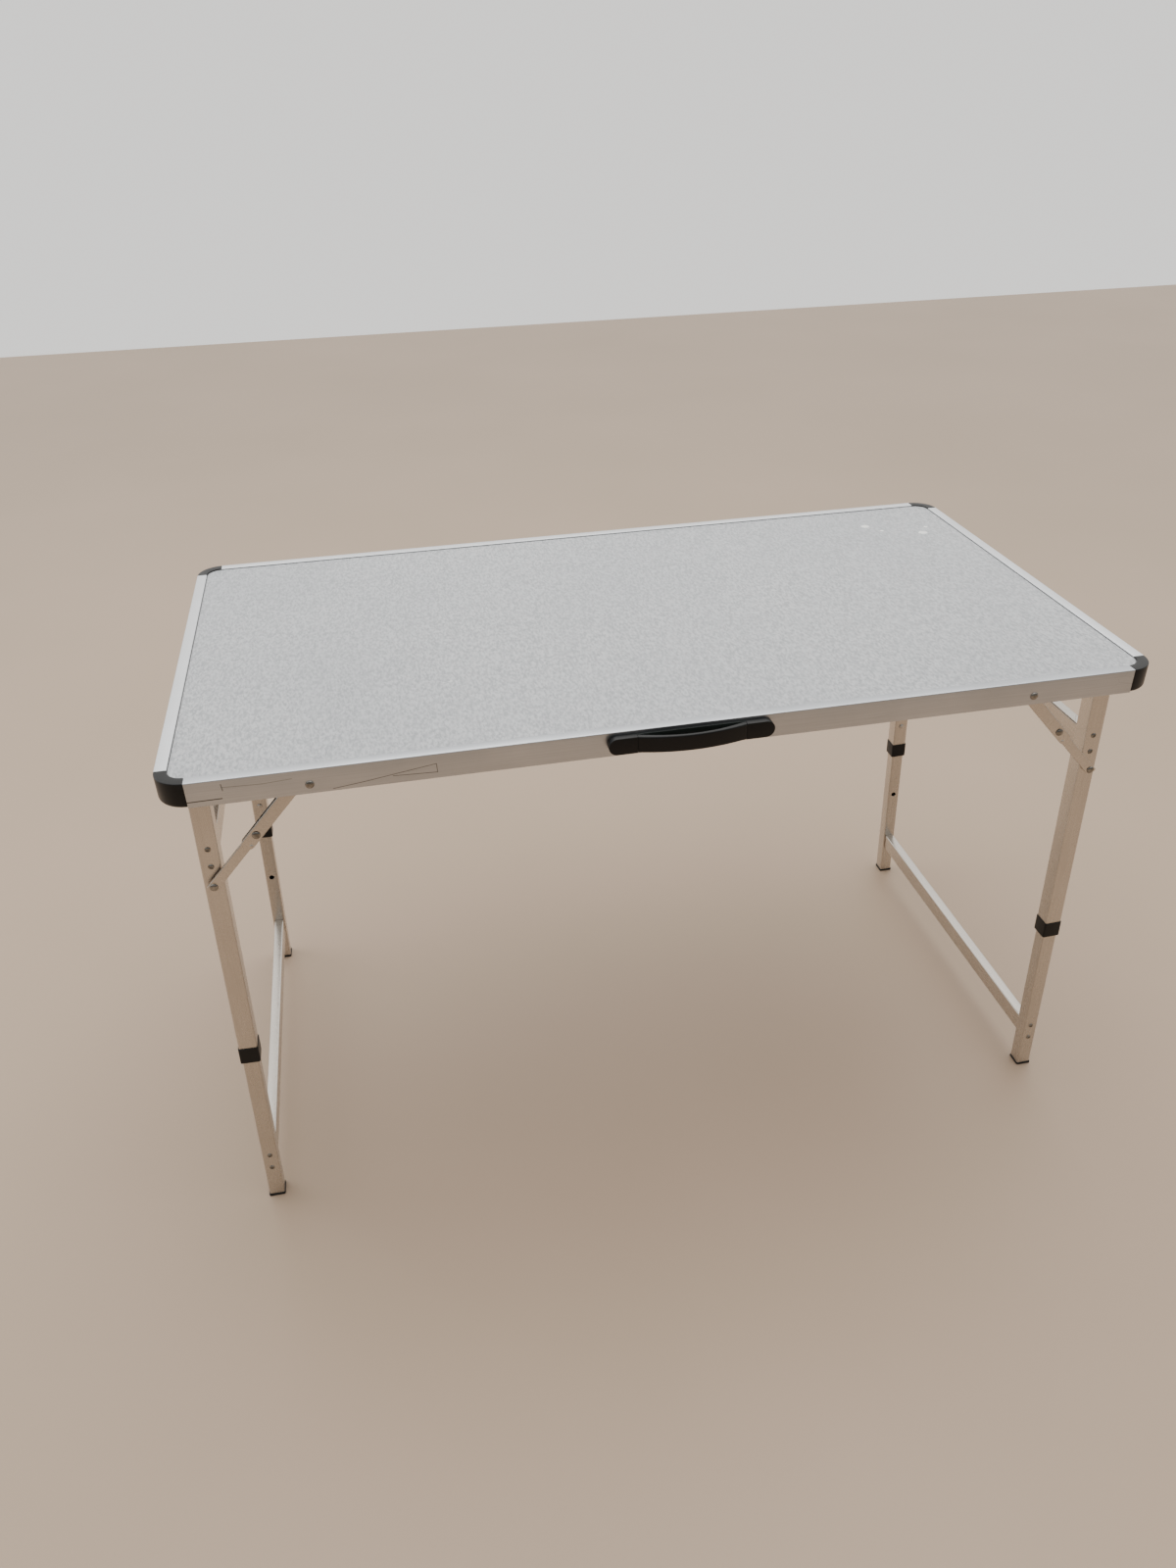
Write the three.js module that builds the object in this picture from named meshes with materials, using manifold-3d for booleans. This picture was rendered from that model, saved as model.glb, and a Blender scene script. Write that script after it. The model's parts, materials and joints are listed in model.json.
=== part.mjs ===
// Folding camping table with a carrying handle: a framed top, two leg frames that fold under it,
// lower legs that slide into the upper ones, and a two-link stay beside each leg.
// Millimetres, +Z up, origin on the floor under the middle of the table. Front is -Y, right is +X.
import * as THREE from 'three';
import { mergeVertices } from 'three/addons/utils/BufferGeometryUtils.js';
import Module from 'manifold-3d';

const wasm = await Module();
wasm.setup();

// Driving dimensions
const TABLE_LENGTH = 1200;
const TABLE_DEPTH = 650;
const TABLE_HEIGHT = 728;
const GAP = 0.3; // play between neighbouring pieces

const RAIL_HEIGHT = 31.5;
const RAIL_WALL = 1.6;
const RAIL_LIP_WIDTH = 14;
const RAIL_LIP_THICK = 1.3;
const RAIL_SHELF_WIDTH = 12;
const RAIL_FLANGE_WIDTH = 8;
const PANEL_THICK = 4;

const CAP_REACH = 34; // along each edge from the corner, and the cap's outer radius
const CAP_WALL = 2.4;
const CAP_BOTTOM_RADIUS = 5;
const CAP_TONGUE = 10;

const HANDLE_HALF = 99;
const HANDLE_END_LENGTH = 34;
const HANDLE_HEIGHT = 21;
const HANDLE_DROP = 14; // from the table's top to the handle's middle
const HANDLE_BASE_THICK = 2;
const HANDLE_END_PROUD = 10.8;
const HANDLE_PROUD = 20; // the strap's middle, from the rail's face
const STRAP_THICK = 5;
const STRAP_TRAVEL = 3;
const HANDLE_BASE_INSET = 1; // of the base plate's edge, behind the handle's own
const HANDLE_END_FLAT = 1; // half the flat left at the tip of each rounded end
const TAB_LENGTH = 14; // the strap's flat ends, inside the end blocks
const TAB_THICK = 2.6;
const TAB_HEIGHT = 13;

const HINGE_X = 562.5;
const HINGE_DROP = 19.5; // from the table's top to the leg pivots and stay pins
const SPLAY = 0.0311; // radians, feet outward
const LEG_Y = 266.3; // middle of a leg tube
const OUTER_TUBE = 24;
const INNER_TUBE = 20.8;
const TUBE_WALL = 1.3;
const TUBE_CORNER = 2;
const INNER_TUBE_CORNER = 1.5;
const BORE_CORNER = 1;
const OUTER_TUBE_LENGTH = 439;
const INNER_TUBE_TOP = 363.7; // below the pivot, along the leg
const FOOT_THICK = 3.3;
const FOOT_WIDTH = 23;
const FOOT_PLUG = 16;
const COLLAR_WIDTH = 26;
const COLLAR_TOP = 417.2; // below the pivot, along the leg
const COLLAR_HEIGHT = 25.5;
const COLLAR_CORNER = 2.5;

const CROSSBAR_WIDTH = 15;
const CROSSBAR_HEIGHT = 30;
const CROSSBAR_WALL = 1.3;
const CROSSBAR_PLUG = 14;
const UPPER_CROSSBAR_DROP = 111.5; // below the pivot, along the leg
const LOWER_CROSSBAR_DROP = 638;
const CROSSBAR_RIVET_PITCH = 24.6;

const PIN_RADIUS = 2.5;
const PIN_HEAD_RADIUS = 5;
const PIN_HEAD_HEIGHT = 2.3;
const RIVET_RADIUS = 2;
const RIVET_HEAD_RADIUS = 3.6;
const RIVET_HEAD_HEIGHT = 1.3;
const HINGE_PIN_HEAD_HEIGHT = 1;

const STAY_ANCHOR_X = 434;
const STAY_LEG_DROP = 148; // from the leg pivot to the stay's lower end, along the leg
const STAY_Y = 280.3; // inner face of the upper link
const UPPER_LINK_HALF = 7.8; // half its width, seen from the side
const UPPER_LINK_THICK = 7.7;
const LOWER_LINK_HALF = 6.2;
const LOWER_LINK_THICK = 4.5;
const LINK_WALL = 1.2;
const LINK_TAIL = 24; // of the upper link past the middle rivet
const LINK_SLOT_HALF = 5.5;
const DIMPLE_RADIUS = 2.4;
const DIMPLE_HEIGHT = 1;
const DIMPLE_X = 16; // past the middle rivet
const DIMPLE_DROP = 4.4; // from the stay's line towards the channel's closed edge
const STAY_SHOULDER_RADIUS = 5;

const BUTTON_DROP = 378.7; // below the pivot, along the leg
const BUTTON_RADIUS = 4;
const BUTTON_PROUD = 2.3;
const BUTTON_DOME = 1.3; // height of the button's round end
const HEIGHT_TRAVEL = 150;

const BRACKET_WALL = 1.5;
const BRACKET_INNER_END = 11; // past the pivot, away from the end rail

const OVERRUN = 1; // of a cutting shape past the face that it cuts
const WELD = 1e-4; // points closer than this are one point
const ROUND_SIDES = 12;
const SMALL_ROUND_SIDES = 8;
const LARGE_ROUND_SIDES = 24;
const CORNER_STEPS = 8; // straight pieces in a large corner
const EDGE_STEPS = 2; // straight pieces in a tube's rounded edge

const pivotZ = TABLE_HEIGHT - HINGE_DROP;
const outerHalf = OUTER_TUBE / 2;
const innerHalf = INNER_TUBE / 2;
const panelTop = TABLE_HEIGHT - RAIL_LIP_THICK - GAP;
const panelBottom = panelTop - PANEL_THICK;
const shelfTop = panelBottom - GAP;
const shelfBottom = shelfTop - RAIL_LIP_THICK;
const railBottom = TABLE_HEIGHT - RAIL_HEIGHT;
const frontFace = -TABLE_DEPTH / 2;

const anodised = { color: 0xc3b8a9, roughness: 0.35, metalness: 1 };
const railAluminium = { color: 0xb9bab8, roughness: 0.45, metalness: 1 };
const steel = { color: 0xc8c8c6, roughness: 0.3, metalness: 1 };
const blackPlastic = { color: 0x1b1c1e, roughness: 0.45, metalness: 0 };
const dullPlastic = { color: 0x2c312f, roughness: 0.6, metalness: 0 };
const laminate = { color: 0xc8cacc, roughness: 0.55, metalness: 0 };

// Solids: geometry to manifold and back, and the two ways of combining them
function toSolid(geometry) {
  const bare = geometry.clone();
  bare.deleteAttribute('normal');
  bare.deleteAttribute('uv');
  const merged = mergeVertices(bare, WELD);
  const vertProperties = new Float32Array(merged.attributes.position.array);
  const triVerts = new Uint32Array(merged.index.array);
  return new wasm.Manifold(new wasm.Mesh({ numProp: 3, vertProperties, triVerts }));
}

function toGeometry(solid) {
  const { vertProperties, triVerts } = solid.getMesh();
  const geometry = new THREE.BufferGeometry();
  geometry.setAttribute('position', new THREE.BufferAttribute(vertProperties, 3));
  geometry.setIndex(new THREE.BufferAttribute(triVerts, 1));
  return geometry;
}

function join(...geometries) {
  return toGeometry(geometries.map(toSolid).reduce((whole, piece) => whole.add(piece)));
}

function cut(geometry, ...tools) {
  return toGeometry(tools.map(toSolid).reduce((whole, tool) => whole.subtract(tool), toSolid(geometry)));
}

function keep(geometry, region) {
  return toGeometry(toSolid(geometry).intersect(toSolid(region)));
}

// Basic shapes placed by their limits
function block([x0, x1], [y0, y1], [z0, z1]) {
  const box = new THREE.BoxGeometry(Math.abs(x1 - x0), Math.abs(y1 - y0), Math.abs(z1 - z0));
  return box.translate((x0 + x1) / 2, (y0 + y1) / 2, (z0 + z1) / 2);
}

function rodAlongY(radius, [y0, y1], x, z, sides = ROUND_SIDES) {
  const rod = new THREE.CylinderGeometry(radius, radius, Math.abs(y1 - y0), sides);
  return rod.translate(x, (y0 + y1) / 2, z);
}

// A flat outline in X and Z, extruded along Y
function plate(shape, [y0, y1], curveSegments = CORNER_STEPS) {
  const low = Math.min(y0, y1);
  const high = Math.max(y0, y1);
  const slab = new THREE.ExtrudeGeometry(shape, { depth: high - low, bevelEnabled: false, curveSegments });
  return slab.rotateX(Math.PI / 2).translate(0, high, 0);
}

function roundedSquare(halfX, halfY, radius) {
  const shape = new THREE.Shape();
  const cornerX = halfX - radius;
  const cornerY = halfY - radius;
  shape.absarc(cornerX, cornerY, radius, 0, Math.PI / 2);
  shape.absarc(-cornerX, cornerY, radius, Math.PI / 2, Math.PI);
  shape.absarc(-cornerX, -cornerY, radius, Math.PI, 1.5 * Math.PI);
  shape.absarc(cornerX, -cornerY, radius, 1.5 * Math.PI, 2 * Math.PI);
  return shape;
}

// A square bar with rounded edges, standing along Z
function squareBar(half, radius, [z0, z1], y) {
  const options = { depth: z1 - z0, bevelEnabled: false, curveSegments: EDGE_STEPS };
  return new THREE.ExtrudeGeometry(roundedSquare(half, half, radius), options).translate(0, y, z0);
}

// A dome of this height on a round shank, turned about Y. outward is +1 or -1 along Y.
function domedPin(headRadius, headHeight, shankRadius, length, outward, sides = ROUND_SIDES) {
  const domeSteps = 2;
  const profile = [new THREE.Vector2(0, -length), new THREE.Vector2(shankRadius, -length)];
  if (shankRadius < headRadius) profile.push(new THREE.Vector2(shankRadius, 0));
  for (let step = 0; step < domeSteps; step += 1) {
    const angle = (step / domeSteps) * (Math.PI / 2);
    profile.push(new THREE.Vector2(headRadius * Math.cos(angle), headHeight * Math.sin(angle)));
  }
  profile.push(new THREE.Vector2(0, headHeight));
  const pin = new THREE.LatheGeometry(profile, sides);
  return outward < 0 ? pin.rotateX(Math.PI) : pin;
}

function sub(group, name, geometry, finish) {
  const mesh = new THREE.Mesh(geometry, new THREE.MeshStandardMaterial(finish));
  mesh.name = name;
  group.add(mesh);
}

const ENDS = [['left', -1], ['right', 1]];
const SIDES = [['front', -1], ['back', 1]];

const table = new THREE.Group();
// The handle reaches further out in front than the stay pins' heads do behind, so the origin,
// under the middle of the whole box, lies that much in front of the top's own middle.
table.position.y = (HANDLE_PROUD - GAP - PIN_HEAD_HEIGHT) / 2;

// Top: panel, rails and corner caps
function panel() {
  const edge = CAP_WALL + GAP;
  const shape = roundedSquare(TABLE_LENGTH / 2 - edge, TABLE_DEPTH / 2 - edge, CAP_REACH - edge);
  const options = { depth: PANEL_THICK, bevelEnabled: false, curveSegments: CORNER_STEPS };
  return new THREE.ExtrudeGeometry(shape, options).translate(0, 0, panelBottom);
}

// Rail section: outer wall, lip over the panel, shelf under it, and a flange along the bottom
function railSection() {
  const shape = new THREE.Shape();
  shape.moveTo(0, railBottom);
  shape.lineTo(RAIL_FLANGE_WIDTH, railBottom);
  shape.lineTo(RAIL_FLANGE_WIDTH, railBottom + RAIL_LIP_THICK);
  shape.lineTo(RAIL_WALL, railBottom + RAIL_LIP_THICK);
  shape.lineTo(RAIL_WALL, shelfBottom);
  shape.lineTo(RAIL_SHELF_WIDTH, shelfBottom);
  shape.lineTo(RAIL_SHELF_WIDTH, shelfTop);
  shape.lineTo(RAIL_WALL, shelfTop);
  shape.lineTo(RAIL_WALL, TABLE_HEIGHT - RAIL_LIP_THICK);
  shape.lineTo(RAIL_LIP_WIDTH, TABLE_HEIGHT - RAIL_LIP_THICK);
  shape.lineTo(RAIL_LIP_WIDTH, TABLE_HEIGHT);
  shape.lineTo(0, TABLE_HEIGHT);
  return shape;
}

// A rail whose outer face looks along -Y when turn is 0, at this distance from the middle
function rail(length, distance, turn) {
  const options = { depth: length, bevelEnabled: false };
  const bar = new THREE.ExtrudeGeometry(railSection(), options);
  bar.rotateX(Math.PI / 2).rotateZ(Math.PI / 2).translate(-length / 2, -distance, 0);
  return bar.rotateZ(turn);
}

const longRail = TABLE_LENGTH - 2 * (CAP_REACH + GAP);
const shortRail = TABLE_DEPTH - 2 * (CAP_REACH + GAP);

function stayPinHoles() {
  return ENDS.map(([, side]) => rodAlongY(
    PIN_RADIUS + GAP, [-RAIL_FLANGE_WIDTH, RAIL_FLANGE_WIDTH], side * STAY_ANCHOR_X, pivotZ));
}

const frontHoles = stayPinHoles().map((hole) => hole.translate(0, -TABLE_DEPTH / 2, 0));
const backHoles = stayPinHoles().map((hole) => hole.translate(0, TABLE_DEPTH / 2, 0));
sub(table, 'top_panel', panel(), laminate);
sub(table, 'front_rail', cut(rail(longRail, TABLE_DEPTH / 2, 0), ...frontHoles), railAluminium);
sub(table, 'back_rail', cut(rail(longRail, TABLE_DEPTH / 2, Math.PI), ...backHoles), railAluminium);
sub(table, 'left_rail', rail(shortRail, TABLE_LENGTH / 2, -Math.PI / 2), railAluminium);
sub(table, 'right_rail', rail(shortRail, TABLE_LENGTH / 2, Math.PI / 2), railAluminium);

// Cap section by radius and height: the same groove as the rails, in thicker plastic
function capProfile() {
  const wallRadius = CAP_REACH - CAP_WALL;
  const lipRadius = CAP_REACH - RAIL_LIP_WIDTH;
  const arcRadius = CAP_REACH - CAP_BOTTOM_RADIUS;
  const arcSteps = 3;
  const points = [new THREE.Vector2(lipRadius, TABLE_HEIGHT - RAIL_LIP_THICK)];
  points.push(new THREE.Vector2(wallRadius, TABLE_HEIGHT - RAIL_LIP_THICK));
  points.push(new THREE.Vector2(wallRadius, shelfTop));
  points.push(new THREE.Vector2(CAP_REACH - RAIL_SHELF_WIDTH, shelfTop));
  points.push(new THREE.Vector2(CAP_REACH - RAIL_SHELF_WIDTH, shelfBottom));
  points.push(new THREE.Vector2(wallRadius, shelfBottom));
  points.push(new THREE.Vector2(wallRadius, railBottom + CAP_WALL));
  points.push(new THREE.Vector2(CAP_REACH - RAIL_FLANGE_WIDTH, railBottom + CAP_WALL));
  points.push(new THREE.Vector2(CAP_REACH - RAIL_FLANGE_WIDTH, railBottom));
  for (let step = 0; step <= arcSteps; step += 1) {
    const angle = (step / arcSteps) * (Math.PI / 2);
    const out = CAP_BOTTOM_RADIUS * Math.sin(angle);
    const down = CAP_BOTTOM_RADIUS * Math.cos(angle);
    points.push(new THREE.Vector2(arcRadius + out, railBottom + CAP_BOTTOM_RADIUS - down));
  }
  points.push(new THREE.Vector2(CAP_REACH, TABLE_HEIGHT));
  points.push(new THREE.Vector2(lipRadius, TABLE_HEIGHT));
  points.push(points[0].clone());
  return points;
}

// The cap for the corner at +X, +Y, with a tongue that plugs into each rail
function cornerCap() {
  const ring = new THREE.LatheGeometry(capProfile(), LARGE_ROUND_SIDES).rotateX(Math.PI / 2);
  const quarter = keep(ring, block([0, CAP_REACH], [0, CAP_REACH], [0, TABLE_HEIGHT + OVERRUN]));
  const outer = CAP_REACH - RAIL_WALL - GAP;
  const thick = [outer - RAIL_FLANGE_WIDTH + RAIL_WALL, outer];
  const tall = [railBottom + RAIL_LIP_THICK + GAP, shelfBottom - GAP];
  const tongueX = block([-CAP_TONGUE, CAP_WALL * 2], thick, tall);
  const tongueY = block(thick, [-CAP_TONGUE, CAP_WALL * 2], tall);
  const centre = [TABLE_LENGTH / 2 - CAP_REACH, TABLE_DEPTH / 2 - CAP_REACH];
  return join(quarter, tongueX, tongueY).translate(centre[0], centre[1], 0);
}

for (const [end, side] of ENDS) {
  for (const [face, depthSide] of SIDES) {
    const cap = toSolid(cornerCap());
    const mirrored = side < 0 ? cap.mirror([1, 0, 0]) : cap;
    const placed = depthSide < 0 ? mirrored.mirror([0, 1, 0]) : mirrored;
    sub(table, `corner_cap_${face}_${end}`, toGeometry(placed), blackPlastic);
  }
}

// Handle: base plate on the front rail, two end blocks, and a bowed strap whose ends
// slide in pockets in the blocks
const handleZ = TABLE_HEIGHT - HANDLE_DROP;
const handleBase = [frontFace - GAP, frontFace - GAP - HANDLE_BASE_THICK];
const blockFaces = [handleBase[1] - GAP, frontFace - HANDLE_END_PROUD];
const strapEndX = HANDLE_HALF - HANDLE_END_LENGTH - GAP;
const tabFaces = [blockFaces[0] - GAP, blockFaces[0] - GAP - TAB_THICK];
const tabHalfHeight = TAB_HEIGHT / 2;

function handlePlate() {
  const halfLength = HANDLE_HALF - 2 * HANDLE_BASE_INSET;
  const halfHeight = HANDLE_HEIGHT / 2 - HANDLE_BASE_INSET;
  const shape = roundedSquare(halfLength, halfHeight, halfHeight - HANDLE_END_FLAT);
  return plate(shape, handleBase).translate(0, 0, handleZ);
}

function handleEnd(side) {
  const middle = side * (HANDLE_HALF - HANDLE_END_LENGTH / 2);
  const halfHeight = HANDLE_HEIGHT / 2;
  const roundEnd = plate(roundedSquare(HANDLE_HALF, halfHeight, halfHeight - HANDLE_END_FLAT), blockFaces);
  const half = HANDLE_END_LENGTH / 2;
  const region = block([middle - half, middle + half], [frontFace - HANDLE_PROUD, 0],
    [-HANDLE_HEIGHT, HANDLE_HEIGHT]);
  const pocketFaces = [handleBase[1], tabFaces[1] - STRAP_TRAVEL - GAP];
  const pocketEnd = side * (strapEndX + TAB_LENGTH + GAP);
  const pocket = block([0, pocketEnd], pocketFaces, [-tabHalfHeight - GAP, tabHalfHeight + GAP]);
  return cut(keep(roundEnd, region), pocket).translate(0, 0, handleZ);
}

function handleStrap() {
  const endDepth = blockFaces[0] - GAP;
  const endFace = frontFace - HANDLE_END_PROUD;
  const bowFace = frontFace - HANDLE_PROUD;
  const shape = new THREE.Shape();
  shape.moveTo(-strapEndX, endDepth);
  shape.quadraticCurveTo(0, 2 * (bowFace + STRAP_THICK) - endDepth, strapEndX, endDepth);
  shape.lineTo(strapEndX, endFace);
  shape.quadraticCurveTo(0, 2 * bowFace - endFace, -strapEndX, endFace);
  const options = { depth: HANDLE_HEIGHT, bevelEnabled: false, curveSegments: 2 * CORNER_STEPS };
  const bow = new THREE.ExtrudeGeometry(shape, options).translate(0, 0, -HANDLE_HEIGHT / 2);
  const reach = strapEndX + TAB_LENGTH;
  const rightTab = block([strapEndX - TAB_THICK, reach], tabFaces, [-tabHalfHeight, tabHalfHeight]);
  const leftTab = block([-reach, TAB_THICK - strapEndX], tabFaces, [-tabHalfHeight, tabHalfHeight]);
  return join(bow, rightTab, leftTab).translate(0, 0, handleZ);
}

sub(table, 'handle_base', handlePlate(), dullPlastic);
sub(table, 'handle_end_left', handleEnd(-1), blackPlastic);
sub(table, 'handle_end_right', handleEnd(1), blackPlastic);
sub(table, 'handle_strap', handleStrap(), blackPlastic);

// U-shaped hinge bracket inside an end rail, with one cheek on each side of the leg
function hingeBracket(side, depthSide) {
  const backFace = TABLE_LENGTH / 2 - RAIL_WALL - GAP;
  const top = shelfBottom - GAP;
  const bottom = railBottom + RAIL_LIP_THICK + GAP;
  const half = outerHalf + GAP + BRACKET_WALL;
  const innerEnd = HINGE_X - BRACKET_INNER_END;
  const span = [side * innerEnd, side * backFace];
  const middle = depthSide * LEG_Y;
  const whole = block(span, [middle - half, middle + half], [bottom, top]);
  const hollowEnd = backFace - BRACKET_WALL;
  const hollow = block([side * (innerEnd - OVERRUN), side * hollowEnd],
    [middle - half + BRACKET_WALL, middle + half - BRACKET_WALL], [bottom - OVERRUN, top + OVERRUN]);
  const pinSpan = [middle - half - OVERRUN, middle + half + OVERRUN];
  const pinHole = rodAlongY(PIN_RADIUS + GAP, pinSpan, side * HINGE_X, pivotZ);
  return cut(whole, hollow, pinHole);
}

for (const [end, side] of ENDS) {
  for (const [face, depthSide] of SIDES) {
    sub(table, `hinge_bracket_${face}_${end}`, hingeBracket(side, depthSide), steel);
  }
}

// Stay pins: a domed head outside the rail, a thick shoulder behind it, and a neck for the link
const upperLinkOuter = STAY_Y + UPPER_LINK_THICK;

function stayPin(side, depthSide) {
  const outerFace = TABLE_DEPTH / 2 + GAP;
  const innerFace = TABLE_DEPTH / 2 - RAIL_WALL - GAP;
  const x = side * STAY_ANCHOR_X;
  const shoulderSpan = [depthSide * innerFace, depthSide * (upperLinkOuter + GAP)];
  const shoulder = rodAlongY(STAY_SHOULDER_RADIUS, shoulderSpan, x, pivotZ);
  const head = domedPin(PIN_HEAD_RADIUS, PIN_HEAD_HEIGHT, PIN_RADIUS, outerFace - STAY_Y, depthSide);
  return join(head.translate(x, depthSide * outerFace, pivotZ), shoulder);
}

for (const [end, side] of ENDS) {
  for (const [face, depthSide] of SIDES) {
    sub(table, `stay_pin_${face}_${end}`, stayPin(side, depthSide), steel);
  }
}

// Leg frames. Each group has its origin on the leg pivot and its -Z down the splayed leg.
const legLength = pivotZ / Math.cos(SPLAY);

function outerTube(depthSide) {
  const y = depthSide * LEG_Y;
  const bar = squareBar(outerHalf, TUBE_CORNER, [-OUTER_TUBE_LENGTH, outerHalf], y);
  const bore = squareBar(outerHalf - TUBE_WALL, BORE_CORNER,
    [-OUTER_TUBE_LENGTH - OVERRUN, outerHalf + OVERRUN], y);
  const across = [y - OUTER_TUBE, y + OUTER_TUBE];
  const below = block([-OUTER_TUBE, OUTER_TUBE], across, [-OUTER_TUBE_LENGTH - OVERRUN, 0]);
  const roundTop = rodAlongY(outerHalf, across, 0, 0, LARGE_ROUND_SIDES);
  const pinHole = rodAlongY(PIN_RADIUS + GAP, across, 0, 0);
  const buttonHole = rodAlongY(BUTTON_RADIUS + GAP, [y, y - depthSide * OUTER_TUBE], 0, -BUTTON_DROP);
  const rivetHoles = crossbarRivetDrops(UPPER_CROSSBAR_DROP).map(
    (drop) => rodAlongY(RIVET_RADIUS + GAP, across, 0, -drop, SMALL_ROUND_SIDES));
  return cut(keep(bar, join(below, roundTop)), bore, pinHole, buttonHole, ...rivetHoles);
}

function crossbarRivetDrops(drop) {
  return [drop - CROSSBAR_RIVET_PITCH / 2, drop + CROSSBAR_RIVET_PITCH / 2];
}

// A hollow bar between the leg tubes' inner faces. An upright web in each end takes the two
// rivets that come through the leg tube.
function crossbar(drop, tubeHalf) {
  const reach = LEG_Y - tubeHalf - GAP;
  const half = [CROSSBAR_WIDTH / 2, CROSSBAR_HEIGHT / 2];
  const bar = plate(roundedSquare(half[0], half[1], TUBE_CORNER), [-reach, reach], EDGE_STEPS);
  const boreShape = roundedSquare(half[0] - CROSSBAR_WALL, half[1] - CROSSBAR_WALL, BORE_CORNER);
  const bore = plate(boreShape, [-reach - OVERRUN, reach + OVERRUN], EDGE_STEPS);
  const webHalf = [half[0] / 2, half[1] - CROSSBAR_WALL / 2];
  const webs = SIDES.map(([, depthSide]) => block([-webHalf[0], webHalf[0]],
    [depthSide * reach, depthSide * (reach - CROSSBAR_PLUG)], [-webHalf[1], webHalf[1]]));
  const face = LEG_Y + tubeHalf + GAP;
  const length = face - reach + CROSSBAR_PLUG / 2;
  const rivets = SIDES.flatMap(([, depthSide]) => crossbarRivetDrops(0).map((offset) => domedPin(
    RIVET_HEAD_RADIUS, RIVET_HEAD_HEIGHT, RIVET_RADIUS, length, depthSide, SMALL_ROUND_SIDES,
  ).translate(0, depthSide * face, offset)));
  return join(cut(bar, bore), ...webs, ...rivets).translate(0, 0, -drop);
}

function collar(depthSide) {
  const y = depthSide * LEG_Y;
  const bottom = -COLLAR_TOP - COLLAR_HEIGHT;
  const body = squareBar(COLLAR_WIDTH / 2, COLLAR_CORNER, [bottom, -COLLAR_TOP], y);
  const pocketSpan = [-OUTER_TUBE_LENGTH - GAP, -COLLAR_TOP + OVERRUN];
  const pocket = squareBar(outerHalf + GAP, TUBE_CORNER, pocketSpan, y);
  const bore = squareBar(innerHalf + GAP, INNER_TUBE_CORNER, [bottom - OVERRUN, -COLLAR_TOP], y);
  return cut(body, pocket, bore);
}

// A low-headed pin through a hinge bracket and its leg tube
function hingePin(depthSide) {
  const half = outerHalf + GAP + BRACKET_WALL + GAP;
  const pin = domedPin(PIN_HEAD_RADIUS, HINGE_PIN_HEAD_HEIGHT, PIN_RADIUS,
    2 * half + HINGE_PIN_HEAD_HEIGHT, depthSide);
  return pin.translate(0, depthSide * (LEG_Y + half), 0);
}

function innerTube(depthSide) {
  const y = depthSide * LEG_Y;
  const bottom = -legLength + FOOT_THICK + GAP;
  const bar = squareBar(innerHalf, INNER_TUBE_CORNER, [bottom, -INNER_TUBE_TOP], y);
  const bore = squareBar(innerHalf - TUBE_WALL, BORE_CORNER, [bottom - OVERRUN, OVERRUN - INNER_TUBE_TOP], y);
  const buttonHoles = [BUTTON_DROP, BUTTON_DROP + HEIGHT_TRAVEL].map(
    (drop) => rodAlongY(BUTTON_RADIUS + GAP, [y, y - depthSide * OUTER_TUBE], 0, -drop));
  const rivetHoles = crossbarRivetDrops(LOWER_CROSSBAR_DROP).map(
    (drop) => rodAlongY(RIVET_RADIUS + GAP, [y - OUTER_TUBE, y + OUTER_TUBE], 0, -drop, SMALL_ROUND_SIDES));
  return cut(bar, bore, ...buttonHoles, ...rivetHoles);
}

// Plastic foot: a plug inside the tube and a plate cut level with the floor
function foot(side, depthSide) {
  const y = depthSide * LEG_Y;
  const half = FOOT_WIDTH / 2;
  const plugHalf = innerHalf - TUBE_WALL - GAP;
  const rise = side * half * Math.tan(SPLAY);
  const shape = new THREE.Shape();
  shape.moveTo(-half, -legLength + rise);
  shape.lineTo(half, -legLength - rise);
  shape.lineTo(half, -legLength + FOOT_THICK);
  shape.lineTo(-half, -legLength + FOOT_THICK);
  const plug = squareBar(plugHalf, BORE_CORNER, [-legLength + OVERRUN, -legLength + FOOT_PLUG], y);
  return join(plate(shape, [y - half, y + half]), plug);
}

// Snap button in the leg's inner face: a short domed cylinder
function snapButton(depthSide) {
  const rim = BUTTON_PROUD - BUTTON_DOME;
  const dome = domedPin(BUTTON_RADIUS, BUTTON_DOME, BUTTON_RADIUS, rim + TUBE_WALL, -depthSide);
  return dome.translate(0, depthSide * (LEG_Y - outerHalf - rim), -BUTTON_DROP);
}

for (const [end, side] of ENDS) {
  const leg = new THREE.Group();
  leg.position.set(side * HINGE_X, 0, pivotZ);
  leg.rotation.y = -side * SPLAY;
  table.add(leg);
  for (const [face, depthSide] of SIDES) {
    sub(leg, `upper_leg_${face}_${end}`, outerTube(depthSide), anodised);
    sub(leg, `leg_collar_${face}_${end}`, collar(depthSide), blackPlastic);
    sub(leg, `lower_leg_${face}_${end}`, innerTube(depthSide), anodised);
    sub(leg, `foot_${face}_${end}`, foot(side, depthSide), blackPlastic);
    sub(leg, `snap_button_${face}_${end}`, snapButton(depthSide), steel);
    sub(leg, `hinge_pin_${face}_${end}`, hingePin(depthSide), steel);
  }
  sub(leg, `upper_crossbar_${end}`, crossbar(UPPER_CROSSBAR_DROP, outerHalf), anodised);
  sub(leg, `lower_crossbar_${end}`, crossbar(LOWER_CROSSBAR_DROP, innerHalf), anodised);
}

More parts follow.
